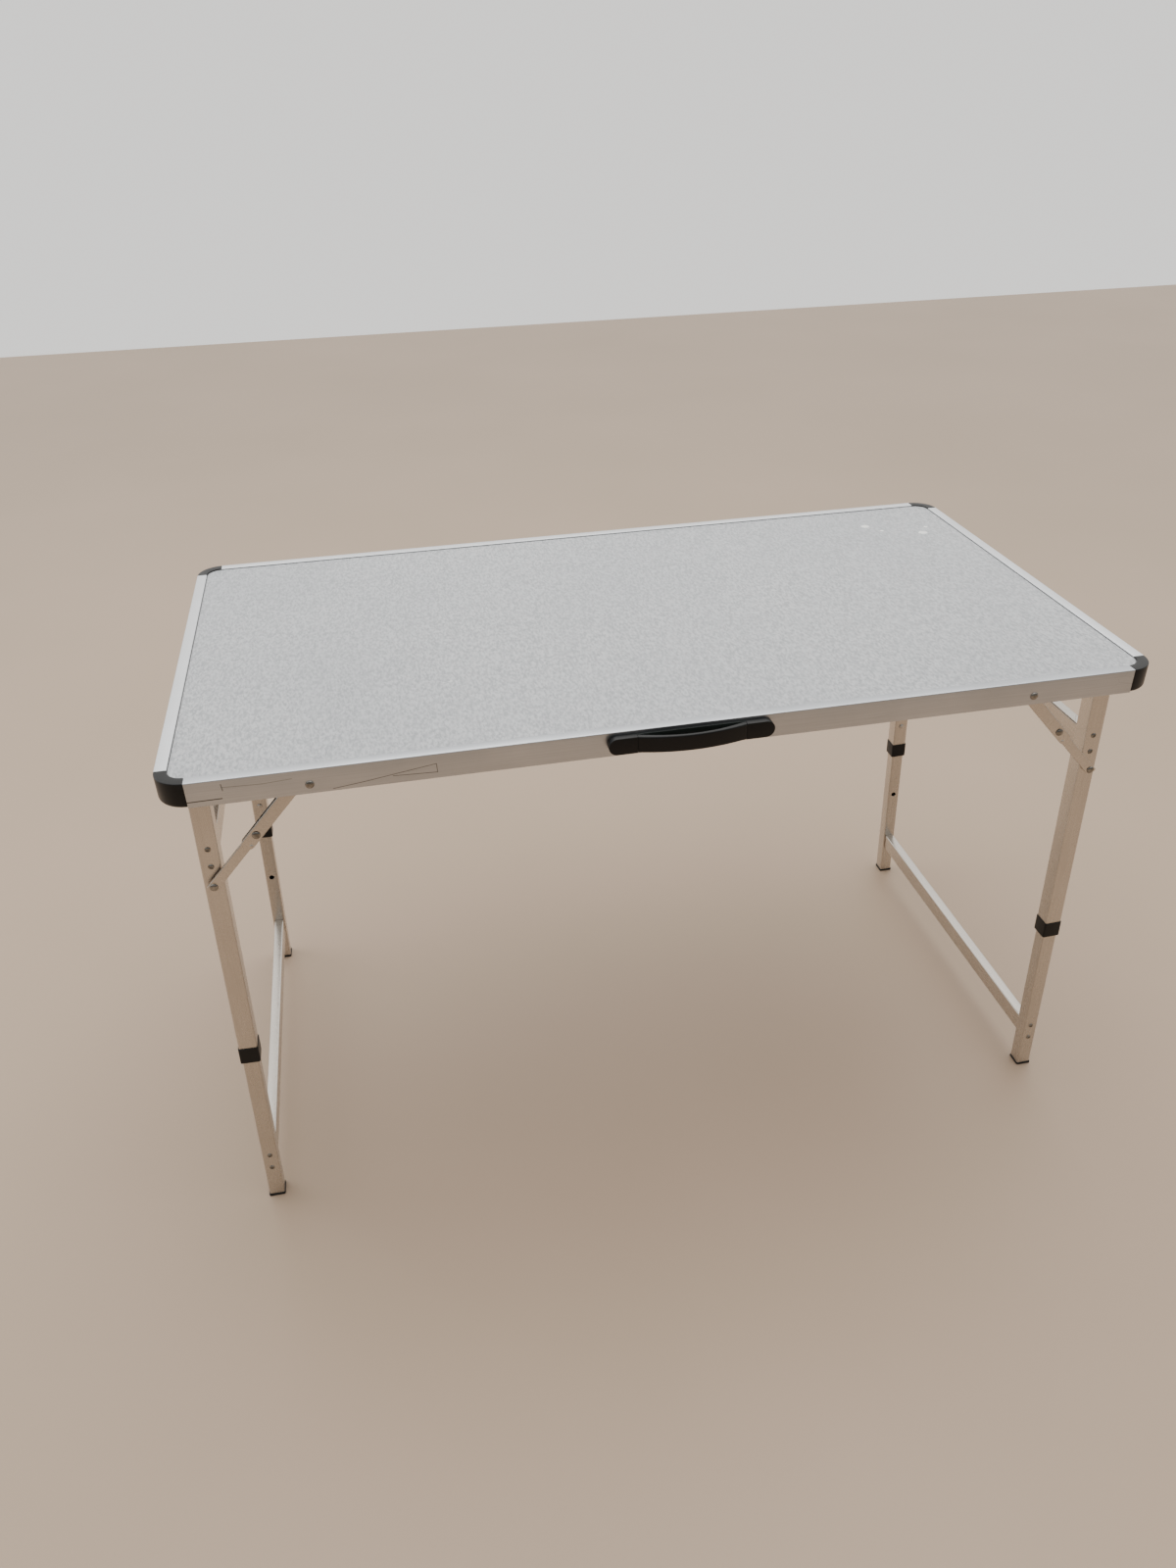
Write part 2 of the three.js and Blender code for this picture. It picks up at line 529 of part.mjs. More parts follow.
// Stays. The links are straight when the leg stands, and the lower link lies back inside the
// upper one when the leg is folded, so their lengths follow from those two distances.
const stayFootX = HINGE_X + STAY_LEG_DROP * Math.sin(SPLAY);
const stayFootZ = pivotZ - STAY_LEG_DROP * Math.cos(SPLAY);
const straightLength = Math.hypot(stayFootX - STAY_ANCHOR_X, stayFootZ - pivotZ);
const foldedLength = STAY_ANCHOR_X - (HINGE_X - STAY_LEG_DROP);
const upperLinkLength = (straightLength + foldedLength) / 2;
const lowerLinkLength = (straightLength - foldedLength) / 2;
const stayAngle = Math.atan2(pivotZ - stayFootZ, stayFootX - STAY_ANCHOR_X);

// Outline of a link with round ends. x1 is the distance of its far end from its first pivot.
function linkOutline(x1, half) {
  const shape = new THREE.Shape();
  shape.absarc(x1 - half, 0, half, -Math.PI / 2, Math.PI / 2);
  shape.absarc(0, 0, half, Math.PI / 2, 1.5 * Math.PI);
  return shape;
}

// The two flanges of a channel between these faces, with this outline
function channelFlanges(outline, inner, outer, depthSide) {
  const spans = [[inner, inner + LINK_WALL], [outer - LINK_WALL, outer]];
  return spans.map((span) => plate(outline, span.map((distance) => depthSide * distance)));
}

// A channel from the stay pin past the middle rivet, open on its upper side. Its closed underside
// stops the stay straight. A slot near the pin lets the leg rivet in when the stay is folded.
// upward is the link's upper side along local Z.
function upperLink(upward, depthSide) {
  const end = upperLinkLength + LINK_TAIL;
  const flanges = channelFlanges(linkOutline(end, UPPER_LINK_HALF), STAY_Y, upperLinkOuter, depthSide);
  const across = [depthSide * STAY_Y, depthSide * upperLinkOuter];
  const web = block([0, end - UPPER_LINK_HALF], across,
    [-upward * UPPER_LINK_HALF, -upward * (UPPER_LINK_HALF - LINK_WALL)]);
  const dimple = domedPin(DIMPLE_RADIUS, DIMPLE_HEIGHT, DIMPLE_RADIUS, LINK_WALL / 2, depthSide,
    SMALL_ROUND_SIDES);
  dimple.translate(upperLinkLength + DIMPLE_X, across[1], -upward * DIMPLE_DROP);
  const cutAcross = [depthSide * (STAY_Y - OVERRUN), depthSide * (upperLinkOuter + OVERRUN)];
  const slotX = upperLinkLength - lowerLinkLength;
  const slotRound = rodAlongY(LINK_SLOT_HALF, cutAcross, slotX, 0);
  const slot = block([slotX - LINK_SLOT_HALF, slotX + LINK_SLOT_HALF], cutAcross,
    [0, 2 * upward * UPPER_LINK_HALF]);
  const holes = [0, upperLinkLength].map((x) => rodAlongY(PIN_RADIUS + GAP, cutAcross, x, 0));
  return cut(join(...flanges, web, dimple), join(slotRound, slot), ...holes);
}

// A narrower channel inside the upper one, closed on its upper side, with the middle rivet and
// the leg rivet set in it. Its upper corners are square at the leg.
function lowerLink(upward, depthSide) {
  const inner = STAY_Y + (UPPER_LINK_THICK - LOWER_LINK_THICK) / 2;
  const outer = inner + LOWER_LINK_THICK;
  const end = lowerLinkLength + LOWER_LINK_HALF;
  const flanges = channelFlanges(linkOutline(end, LOWER_LINK_HALF), inner, outer, depthSide);
  const corner = new THREE.Shape();
  corner.moveTo(lowerLinkLength, 0);
  corner.lineTo(end, 0);
  corner.lineTo(end, upward * LOWER_LINK_HALF);
  corner.lineTo(lowerLinkLength, upward * LOWER_LINK_HALF);
  const corners = channelFlanges(corner, inner, outer, depthSide);
  const web = block([0, lowerLinkLength], [depthSide * inner, depthSide * outer],
    [upward * (LOWER_LINK_HALF - LINK_WALL), upward * LOWER_LINK_HALF]);
  const rivets = [[0, upperLinkOuter + GAP], [lowerLinkLength, outer]].map(([x, face]) => domedPin(
    PIN_HEAD_RADIUS, PIN_HEAD_HEIGHT, PIN_RADIUS, face - STAY_Y, depthSide,
  ).translate(x, depthSide * face, 0));
  return join(...flanges, ...corners, web, ...rivets);
}

for (const [end, side] of ENDS) {
  const stay = new THREE.Group();
  stay.position.set(side * STAY_ANCHOR_X, 0, pivotZ);
  stay.rotation.y = side > 0 ? stayAngle : Math.PI - stayAngle;
  table.add(stay);
  const elbow = new THREE.Group();
  elbow.position.x = upperLinkLength;
  stay.add(elbow);
  for (const [face, depthSide] of SIDES) {
    sub(stay, `stay_upper_link_${face}_${end}`, upperLink(side, depthSide), anodised);
    sub(elbow, `stay_lower_link_${face}_${end}`, lowerLink(side, depthSide), anodised);
  }
}

export default table;
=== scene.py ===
"""Folding camping table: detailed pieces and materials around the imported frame. Metres, +Z up."""

import json
import math

import bmesh
import bpy
from mathutils import Matrix, Vector


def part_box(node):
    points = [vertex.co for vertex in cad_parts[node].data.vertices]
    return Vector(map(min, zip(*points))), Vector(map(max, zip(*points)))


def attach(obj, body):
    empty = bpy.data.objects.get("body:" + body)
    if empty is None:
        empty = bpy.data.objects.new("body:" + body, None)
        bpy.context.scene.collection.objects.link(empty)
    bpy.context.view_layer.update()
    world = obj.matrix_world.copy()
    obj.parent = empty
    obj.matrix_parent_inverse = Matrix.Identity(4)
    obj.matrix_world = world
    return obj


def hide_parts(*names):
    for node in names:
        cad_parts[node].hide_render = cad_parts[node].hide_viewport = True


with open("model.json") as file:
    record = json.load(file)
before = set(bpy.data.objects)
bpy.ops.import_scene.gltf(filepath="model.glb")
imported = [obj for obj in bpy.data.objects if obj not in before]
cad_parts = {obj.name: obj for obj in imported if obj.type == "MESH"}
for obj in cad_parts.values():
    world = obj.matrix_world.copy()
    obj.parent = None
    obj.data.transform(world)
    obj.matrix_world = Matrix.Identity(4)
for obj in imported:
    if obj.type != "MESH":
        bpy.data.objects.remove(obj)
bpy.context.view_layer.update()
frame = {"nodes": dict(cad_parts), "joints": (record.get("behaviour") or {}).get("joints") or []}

MM = 0.001
GAP = 0.3 * MM
PIN_RADIUS = 2.5 * MM
PIN_HOLE = 2.8 * MM
SHARP_ANGLE = math.radians(35)
ENDS = (("left", -1), ("right", 1))
SIDES = (("front", -1), ("back", 1))
JOINTS = {joint["name"]: joint for joint in frame["joints"]}

# The table's middle, top and edges, from the rails
top_low, top_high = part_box("left_rail")[0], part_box("right_rail")[1]
TOP_Z = top_high.z
RAIL_BOTTOM = top_low.z
HALF_LENGTH = top_high.x
FRONT_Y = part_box("front_rail")[0].y
BACK_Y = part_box("back_rail")[1].y
MIDDLE_Y = (FRONT_Y + BACK_Y) / 2
HALF_DEPTH = (BACK_Y - FRONT_Y) / 2
PIVOT_Z = JOINTS["left_fold"]["pos_m"][2]
panel_low, panel_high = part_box("top_panel")
LIP_WIDTH = 14 * MM
CAP_REACH = 34 * MM


# ---------------------------------------------------------------- node trees


class Nodes:
    """The node tree of a material or world, with short calls for the nodes used here."""

    def __init__(self, owner, coordinates="Object"):
        owner.use_nodes = True
        self.owner = owner
        self.tree = owner.node_tree
        self.place = self.add("ShaderNodeTexCoord").outputs[coordinates]

    def add(self, kind, **settings):
        node = self.tree.nodes.new(kind)
        for key, value in settings.items():
            setattr(node, key, value)
        return node

    def link(self, source, target):
        self.tree.links.new(source, target)

    def scaled(self, scale):
        mapping = self.add("ShaderNodeMapping")
        mapping.inputs["Scale"].default_value = scale
        self.link(self.place, mapping.inputs["Vector"])
        return mapping.outputs["Vector"]

    def noise(self, scale, detail=4.0, stretch=(1, 1, 1), roughness=0.5, distortion=0.0):
        node = self.add("ShaderNodeTexNoise")
        node.inputs["Scale"].default_value = scale
        node.inputs["Detail"].default_value = detail
        node.inputs["Roughness"].default_value = roughness
        node.inputs["Distortion"].default_value = distortion
        self.link(self.scaled(stretch), node.inputs["Vector"])
        return node.outputs["Fac"]

    def cells(self, scale, feature="F1", stretch=(1, 1, 1)):
        node = self.add("ShaderNodeTexVoronoi", feature=feature)
        node.inputs["Scale"].default_value = scale
        self.link(self.scaled(stretch), node.inputs["Vector"])
        return node.outputs["Distance"]

    def remap(self, source, low, high, to_low=0.0, to_high=1.0):
        node = self.add("ShaderNodeMapRange")
        for key, value in (("From Min", low), ("From Max", high), ("To Min", to_low), ("To Max", to_high)):
            node.inputs[key].default_value = value
        self.link(source, node.inputs["Value"])
        return node.outputs["Result"]

    def math(self, operation, first, second):
        node = self.add("ShaderNodeMath", operation=operation)
        for socket, value in zip(node.inputs, (first, second)):
            if isinstance(value, (int, float)):
                socket.default_value = value
            else:
                self.link(value, socket)
        return node.outputs["Value"]

    def mix(self, factor, first, second):
        node = self.add("ShaderNodeMix", data_type="RGBA")
        for socket, value in ((node.inputs[6], first), (node.inputs[7], second)):
            if isinstance(value, tuple):
                socket.default_value = (*value, 1)
            else:
                self.link(value, socket)
        self.link(factor, node.inputs["Factor"])
        return node.outputs[2]

    def bump(self, height, distance, strength=1.0, below=None):
        node = self.add("ShaderNodeBump")
        node.inputs["Distance"].default_value = distance
        node.inputs["Strength"].default_value = strength
        self.link(height, node.inputs["Height"])
        if below is not None:
            self.link(below, node.inputs["Normal"])
        return node.outputs["Normal"]

    def edge_wear(self, radius):
        """1 on convex edges, 0 on flat faces."""
        node = self.add("ShaderNodeBevel")
        node.inputs["Radius"].default_value = radius
        geometry = self.add("ShaderNodeNewGeometry")
        dot = self.add("ShaderNodeVectorMath", operation="DOT_PRODUCT")
        self.link(node.outputs["Normal"], dot.inputs[0])
        self.link(geometry.outputs["Normal"], dot.inputs[1])
        return self.remap(dot.outputs["Value"], 1.0, 0.86)

    def finish(self, colour, roughness, normal, metallic=0.0, **constants):
        """The material, once its shader has these. constants are named like its sockets."""
        shader = self.tree.nodes["Principled BSDF"]
        self.link(colour, shader.inputs["Base Color"])
        self.link(roughness, shader.inputs["Roughness"])
        self.link(normal, shader.inputs["Normal"])
        shader.inputs["Metallic"].default_value = metallic
        for name, value in constants.items():
            shader.inputs[name.replace("_", " ")].default_value = value
        return self.owner


def new_material(name):
    return Nodes(bpy.data.materials.new(name))


# ---------------------------------------------------------------- camera and light

CAMERA_PLACE = Vector((-0.332, -1.436 + MIDDLE_Y, 1.377))
CAMERA_TURN = (57.73, 1.24, -11.47)  # degrees about X, Y and Z
SENSOR_HEIGHT = 36.0
LENS = 26.36
FAR_CLIP = 50


def make_camera():
    data = bpy.data.cameras.new("camera")
    data.sensor_fit = "VERTICAL"
    data.sensor_height = SENSOR_HEIGHT
    data.lens = LENS
    data.clip_end = FAR_CLIP
    camera = bpy.data.objects.new("camera", data)
    camera.location = CAMERA_PLACE
    camera.rotation_euler = [math.radians(angle) for angle in CAMERA_TURN]
    bpy.context.scene.collection.objects.link(camera)
    bpy.context.scene.camera = camera


def area_light(name, place, target, size, watts, colour):
    data = bpy.data.lights.new(name, "AREA")
    data.shape = "RECTANGLE"
    data.size, data.size_y = size
    data.energy = watts
    data.color = colour
    lamp = bpy.data.objects.new(name, data)
    lamp.location = place
    direction = Vector(target) - Vector(place)
    lamp.rotation_euler = direction.to_track_quat("-Z", "Y").to_euler()
    bpy.context.scene.collection.objects.link(lamp)


def light_room():
    """A white wall behind the table, a darker room in front of it and a bright ceiling."""
    area_light("ceiling_light", place=(0.3, 0.6, 3.0), target=(0, 0.1, 0.4), size=(3.0, 2.4), watts=40,
        colour=(1.0, 0.985, 0.96))
    area_light("window_light", place=(-3.2, 1.2, 1.9), target=(0, 0, 0.6), size=(1.8, 1.6), watts=22,
        colour=(0.93, 0.97, 1.0))
    n = Nodes(bpy.data.worlds.new("room"), "Generated")
    parts = n.add("ShaderNodeSeparateXYZ")
    n.link(n.place, parts.inputs["Vector"])
    wall = n.remap(parts.outputs["Y"], -0.7, 0.6, 0.2, 1.15)
    ceiling = n.remap(parts.outputs["Z"], 0.2, 0.85, 0.0, 0.7)
    background = n.tree.nodes["Background"]
    background.inputs["Color"].default_value = (1.0, 0.985, 0.955, 1)
    n.link(n.math("ADD", wall, ceiling), background.inputs["Strength"])
    bpy.context.scene.world = n.owner


# ---------------------------------------------------------------- materials


def scratches(n, scale, thin, stretch, where):
    """Sparse fine lines: the walls of big stretched cells, kept where a slow noise is high."""
    lines = n.remap(n.cells(scale, "DISTANCE_TO_EDGE", stretch), 0.0, thin, 1.0, 0.0)
    patches = n.remap(n.noise(where, 2.0), 0.55, 0.68)
    return n.math("MULTIPLY", lines, patches)


def spot(n, centre, radius, ragged):
    """A patch with a ragged edge. ragged is a noise that eats into it."""
    node = n.add("ShaderNodeVectorMath", operation="DISTANCE")
    n.link(n.place, node.inputs[0])
    node.inputs[1].default_value = centre
    near = n.remap(node.outputs["Value"], 0.2 * radius, radius, 1.0, 0.0)
    return n.remap(n.math("MULTIPLY", near, ragged), 0.22, 0.36)


def stroke(n, start, stop, width):
    """A fine line between two points (x, z) on a face that looks along Y."""
    first, last = Vector((start[0], 0, start[1])), Vector((stop[0], 0, stop[1]))
    span = last - first
    offset = n.add("ShaderNodeVectorMath", operation="SUBTRACT")
    n.link(n.scaled((1, 0, 1)), offset.inputs[0])
    offset.inputs[1].default_value = first
    share = n.add("ShaderNodeVectorMath", operation="DOT_PRODUCT")
    n.link(offset.outputs["Vector"], share.inputs[0])
    share.inputs[1].default_value = span / span.length_squared
    held = n.remap(share.outputs["Value"], 0.0, 1.0)
    foot = n.add("ShaderNodeVectorMath", operation="SCALE")
    foot.inputs[0].default_value = span
    n.link(held, foot.inputs["Scale"])
    away = n.add("ShaderNodeVectorMath", operation="DISTANCE")
    n.link(offset.outputs["Vector"], away.inputs[0])
    n.link(foot.outputs["Vector"], away.inputs[1])
    return n.remap(away.outputs["Value"], 0.35 * width, 0.65 * width, 1.0, 0.0)


def lip_gap_shadow_line(n, half_x, half_y, radius, width):
    """A thin line just inside a rounded rectangle on the top: painted shadow of the gap under the lips'
    inner edge.
    """
    offset = n.add("ShaderNodeVectorMath", operation="SUBTRACT")
    n.link(n.scaled((1, 1, 0)), offset.inputs[0])
    offset.inputs[1].default_value = (0, MIDDLE_Y, 0)
    folded = n.add("ShaderNodeVectorMath", operation="ABSOLUTE")
    n.link(offset.outputs["Vector"], folded.inputs[0])
    corner = n.add("ShaderNodeVectorMath", operation="SUBTRACT")
    n.link(folded.outputs["Vector"], corner.inputs[0])
    corner.inputs[1].default_value = (half_x - radius, half_y - radius, 0)
    outside = n.add("ShaderNodeVectorMath", operation="MAXIMUM")
    n.link(corner.outputs["Vector"], outside.inputs[0])
    away = n.add("ShaderNodeVectorMath", operation="LENGTH")
    n.link(outside.outputs["Vector"], away.inputs[0])
    return n.remap(away.outputs["Value"], radius - width, radius - 0.6 * width)


# Paint specks near the panel's back right corner, as (x, y from the middle, radius)
PANEL_SPECKS = ((0.452, 0.240, 0.011), (0.529, 0.190, 0.012), (0.545, 0.213, 0.005), (0.470, 0.214, 0.006))


def laminate_material():
    """Light grey foil with a fine embossed grain that runs front to back, with pale scuffs. The grain's low
    places are painted darker as painted shade, and a painted shadow line runs along the lips.
    """
    n = new_material("panel_laminate")
    grain = n.noise(330, 2.0, (1.0, 0.4, 1.0), 0.5, 0.5)
    pores = n.cells(260, "F1", (1.0, 0.45, 1.0))
    relief = n.math("ADD", n.remap(grain, 0.36, 0.64), n.math("MULTIPLY", pores, 0.35))
    broad = n.noise(3.0, 3.0)
    cloud = n.noise(16.0, 4.0)
    base = n.mix(n.remap(broad, 0.35, 0.65), (0.53, 0.545, 0.57), (0.58, 0.592, 0.61))
    # Painted shade: the grain's low places and pore centres are coloured darker, standing in for the
    # emboss's shading; the cloud noise adds random tone.
    base = n.mix(n.remap(relief, 0.15, 1.1), n.mix(n.remap(cloud, 0.3, 0.7), (0.355, 0.37, 0.39),
        (0.385, 0.4, 0.42)), base)
    scuff = n.math("MULTIPLY", n.remap(n.noise(60, 5.0, (1, 1, 1), 0.65), 0.66, 0.74),
        n.remap(n.noise(2.2, 1.0), 0.56, 0.66))
    base = n.mix(scuff, base, (0.78, 0.79, 0.8))
    marks = scratches(n, 5.0, 0.0025, (1.0, 2.2, 1.0), 5.0)
    base = n.mix(n.math("MULTIPLY", marks, 0.5), base, (0.74, 0.75, 0.76))
    ragged = n.noise(170, 3.0)
    for x, y, radius in PANEL_SPECKS:
        base = n.mix(spot(n, (x, y + MIDDLE_Y, panel_high.z), radius, ragged), base, (0.92, 0.92, 0.9))
    # Painted shadow: a near-black line on the panel just inside the lips' inner edge, where the gap under
    # the lip lies in shade.
    lip_gap_shadow = lip_gap_shadow_line(n, HALF_LENGTH - LIP_WIDTH, HALF_DEPTH - LIP_WIDTH, CAP_REACH - LIP_WIDTH, 1.5 * MM)
    base = n.mix(n.math("MULTIPLY", lip_gap_shadow, 0.85), base, (0.06, 0.06, 0.06))
    roughness = n.remap(n.math("ADD", cloud, n.math("MULTIPLY", grain, 0.5)), 0.4, 1.1, 0.38, 0.54)
    return n.finish(base, roughness, n.bump(relief, 0.45 * MM, 0.7), 0.0, Specular_IOR_Level=0.45)


def aluminium_material(name, bright, dull, rough, along, tint, strokes=()):
    """Satin aluminium: drawn lines along one axis, soft stains, light scratches and worn edges.
    along is the stretch that turns noise into lines. tint is the colour of the dull streaks.
    strokes are single scratches as (start, stop, width, darkness)."""
    n = new_material(name)
    lines = n.noise(900, 2.0, along, 0.6)
    fine = n.noise(2600, 1.0, along, 0.5)
    stain = n.noise(7.0, 4.0)
    handling = n.noise(38.0, 5.0, (1, 1, 1), 0.6)
    marks = scratches(n, 11.0, 0.004, (1.0, 1.6, 2.2), 6.0)
    base = n.mix(n.remap(stain, 0.3, 0.7), dull, bright)
    base = n.mix(n.remap(lines, 0.35, 0.75, 0.0, 0.35), base, tint)
    base = n.mix(n.math("MULTIPLY", marks, 0.7), base, tuple(channel * 0.55 for channel in tint))
    base = n.mix(n.math("MULTIPLY", n.edge_wear(0.6 * MM), 0.5), base, (0.9, 0.9, 0.9))
    for start, stop, width, darkness in strokes:
        line = n.math("MULTIPLY", stroke(n, start, stop, width), darkness)
        base = n.mix(line, base, (0.1, 0.1, 0.1))
    low, high = rough
    roughness = n.remap(n.math("ADD", n.math("MULTIPLY", lines, 0.6), n.math("MULTIPLY", handling, 0.6)),
        0.35, 0.85, low, high)
    roughness = n.math("ADD", roughness, n.math("MULTIPLY", marks, 0.12))
    normal = n.bump(lines, 0.012 * MM, 0.5)
    normal = n.bump(fine, 0.006 * MM, 0.4, normal)
    normal = n.bump(handling, 0.03 * MM, 0.08, normal)
    return n.finish(base, roughness, normal, 1.0)


def plastic_material(name, dark, light, rough):
    """Moulded black plastic: fine spark grain, greyed edges and a few dusty rub marks."""
    n = new_material(name)
    grain = n.noise(1500, 3.0)
    dust = n.remap(n.noise(45, 5.0, (1, 1, 1), 0.62), 0.56, 0.76)
    cloud = n.noise(14, 3.0)
    base = n.mix(n.remap(cloud, 0.3, 0.7), dark, light)
    base = n.mix(n.math("MULTIPLY", dust, 0.3), base, tuple(channel * 2.4 + 0.004 for channel in light))
    base = n.mix(n.math("MULTIPLY", n.edge_wear(0.8 * MM), 0.45), base, (0.04, 0.042, 0.045))
    low, high = rough
    roughness = n.remap(n.math("ADD", cloud, n.math("MULTIPLY", dust, 0.4)), 0.3, 0.9, low, high)
    return n.finish(base, roughness, n.bump(grain, 0.05 * MM, 0.5), 0.0, Specular_IOR_Level=0.28)


def steel_material(name, dark, light):
    """Zinc-plated steel: mottled, with edges rubbed bright."""
    n = new_material(name)
    mottle = n.noise(260, 4.0)
    cloud = n.noise(70, 3.0)
    base = n.mix(n.remap(mottle, 0.35, 0.65), dark, light)
    base = n.mix(n.math("MULTIPLY", n.edge_wear(0.5 * MM), 0.35), base, (0.75, 0.74, 0.72))
    roughness = n.remap(cloud, 0.3, 0.7, 0.18, 0.32)
    return n.finish(base, roughness, n.bump(mottle, 0.03 * MM, 0.35), 1.0)


def floor_material():
    n = new_material("pale_floor")
    cloud = n.noise(1.2, 3.0)
    fine = n.noise(220, 3.0)
    base = n.mix(n.remap(cloud, 0.3, 0.7), (0.45, 0.335, 0.24), (0.48, 0.355, 0.26))
    roughness = n.remap(fine, 0.3, 0.7, 0.45, 0.55)
    return n.finish(base, roughness, n.bump(fine, 0.05 * MM, 0.3))


# Scratches on the front rail, near its left end: (x, z) points, width and darkness
SCRATCH_PATHS = (
    (((-0.4095, TOP_Z - 0.0285), (-0.376, TOP_Z - 0.0245), (-0.294, TOP_Z - 0.0125),
        (-0.2935, TOP_Z - 0.0235), (-0.343, TOP_Z - 0.0215)), 0.8 * MM, 0.85),
    (((-0.527, TOP_Z - 0.010), (-0.484, TOP_Z - 0.0115), (-0.452, TOP_Z - 0.0095)), 0.7 * MM, 0.6),
    (((-0.527, TOP_Z - 0.006), (-0.5262, TOP_Z - 0.014)), 1.2 * MM, 0.7),
    (((-0.565, TOP_Z - 0.0242), (-0.5285, TOP_Z - 0.0238)), 1.3 * MM, 1.0),
)
SCRATCHES = [(start, stop, width, darkness) for path, width, darkness in SCRATCH_PATHS
    for start, stop in zip(path, path[1:])]
RAIL_ROUGHNESS = (0.28, 0.42)
LEG_ROUGHNESS = (0.22, 0.34)

RAIL_BRIGHT, RAIL_DULL, RAIL_TINT = (0.87, 0.89, 0.92), (0.79, 0.81, 0.84), (0.68, 0.69, 0.7)
LEG_BRIGHT, LEG_DULL, LEG_TINT = (0.64, 0.6, 0.55), (0.57, 0.53, 0.485), (0.49, 0.45, 0.4)
ALONG_X, ALONG_Y, ALONG_Z = (0.012, 1.0, 1.0), (1.0, 0.012, 1.0), (1.0, 1.0, 0.012)
ALONG_LINK = (0.3, 1.0, 0.3)
LAMINATE = laminate_material()
# A darker copy of the rails' aluminium for the front rail: painted shade, since the front faces the camera
# and the darker room.
SHADED_FRONT_BRIGHT, SHADED_FRONT_DULL, SHADED_FRONT_TINT = (0.6, 0.62, 0.65), (0.5, 0.52, 0.55), (0.4, 0.41, 0.425)
RAIL_FRONT_SHADED = aluminium_material("rail_aluminium_front_shaded", SHADED_FRONT_BRIGHT, SHADED_FRONT_DULL, (0.26, 0.4), ALONG_X,
    SHADED_FRONT_TINT, SCRATCHES)
RAIL_BACK = aluminium_material("rail_aluminium_back", RAIL_BRIGHT, RAIL_DULL, RAIL_ROUGHNESS, ALONG_X,
    RAIL_TINT)
RAIL_ENDS = aluminium_material("rail_aluminium_ends", RAIL_BRIGHT, RAIL_DULL, RAIL_ROUGHNESS, ALONG_Y,
    RAIL_TINT)
LEG_ALUMINIUM = aluminium_material("leg_aluminium", LEG_BRIGHT, LEG_DULL, LEG_ROUGHNESS, ALONG_Z, LEG_TINT)
BAR_ALUMINIUM = aluminium_material("crossbar_aluminium", LEG_BRIGHT, LEG_DULL, LEG_ROUGHNESS, ALONG_Y,
    LEG_TINT)
LINK_ALUMINIUM = aluminium_material("link_aluminium", LEG_BRIGHT, LEG_DULL, LEG_ROUGHNESS,
    ALONG_LINK, LEG_TINT)
BLACK_PLASTIC = plastic_material("black_plastic", (0.0035, 0.004, 0.0045), (0.0065, 0.007, 0.008),
    (0.34, 0.5))
DARK_PLASTIC = plastic_material("dark_plastic", (0.012, 0.017, 0.0155), (0.018, 0.024, 0.022), (0.4, 0.56))
STEEL = steel_material("plated_steel", (0.46, 0.44, 0.41), (0.62, 0.61, 0.59))
RIVET_STEEL = steel_material("rivet_steel", (0.2, 0.185, 0.16), (0.34, 0.325, 0.3))


# ---------------------------------------------------------------- outlines and meshes


def arc(centre, radius, start, stop, steps):
    """Points on an arc, with both ends. Angles in degrees."""
    angles = [math.radians(start + (stop - start) * step / steps) for step in range(steps + 1)]
    return [(centre[0] + radius * math.cos(a), centre[1] + radius * math.sin(a)) for a in angles]


def rounded_rectangle(half_x, half_y, radius, steps=6):
    x, y = half_x - radius, half_y - radius
    points = []
    for quarter, (sx, sy) in enumerate(((1, 1), (-1, 1), (-1, -1), (1, -1))):
        points += arc((sx * x, sy * y), radius, 90 * quarter, 90 * quarter + 90, steps)
    return points


def filleted(corners, steps=4):
    """A closed outline from (x, y, radius) corners, with an arc in place of each corner."""
    points = []
    count = len(corners)
    for i, (x, y, radius) in enumerate(corners):
        here = Vector((x, y))
        if radius == 0:
            points.append((x, y))
            continue
        back = (Vector(corners[i - 1][:2]) - here).normalized()
        ahead = (Vector(corners[(i + 1) % count][:2]) - here).normalized()
        half = back.angle(ahead) / 2
        centre = here + (back + ahead).normalized() * (radius / math.sin(half))
        start = here + back * (radius / math.tan(half)) - centre
        stop = here + ahead * (radius / math.tan(half)) - centre
        sweep = start.angle_signed(stop)
        for step in range(steps + 1):
            turn = Matrix.Rotation(-sweep * step / steps, 2)
            points.append(tuple(centre + turn @ start))
    return points


def object_from(name, bm):
    bmesh.ops.recalc_face_normals(bm, faces=bm.faces)
    mesh = bpy.data.meshes.new(name)
    bm.to_mesh(mesh)
    bm.free()
    piece = bpy.data.objects.new(name, mesh)
    bpy.context.scene.collection.objects.link(piece)
    return piece


def loft(name, rings, closed_ends=True, ring_closed=False):
    """Quads between rings of equal length. ring_closed joins the last ring to the first."""
    bm = bmesh.new()
    rows = [[bm.verts.new(point) for point in ring] for ring in rings]
    pairs = list(zip(rows, rows[1:]))
    if ring_closed:
        pairs.append((rows[-1], rows[0]))
    count = len(rows[0])
    for low, high in pairs:
        for i in range(count):
            j = (i + 1) % count
            bm.faces.new((low[i], low[j], high[j], high[i]))
    if closed_ends and not ring_closed:
        bm.faces.new(reversed(rows[0]))
        bm.faces.new(rows[-1])
    return object_from(name, bm)


def prism(name, outline, low, high, axis="Z"):
    """The outline extruded along an axis. Along Y it lies in X and Z, and along X in Y and Z."""
    def put(point, height):
        if axis == "Y":
            return (point[0], height, point[1])
        if axis == "X":
            return (height, point[0], point[1])
        return (point[0], point[1], height)
    return loft(name, [[put(point, height) for point in outline] for height in (low, high)])


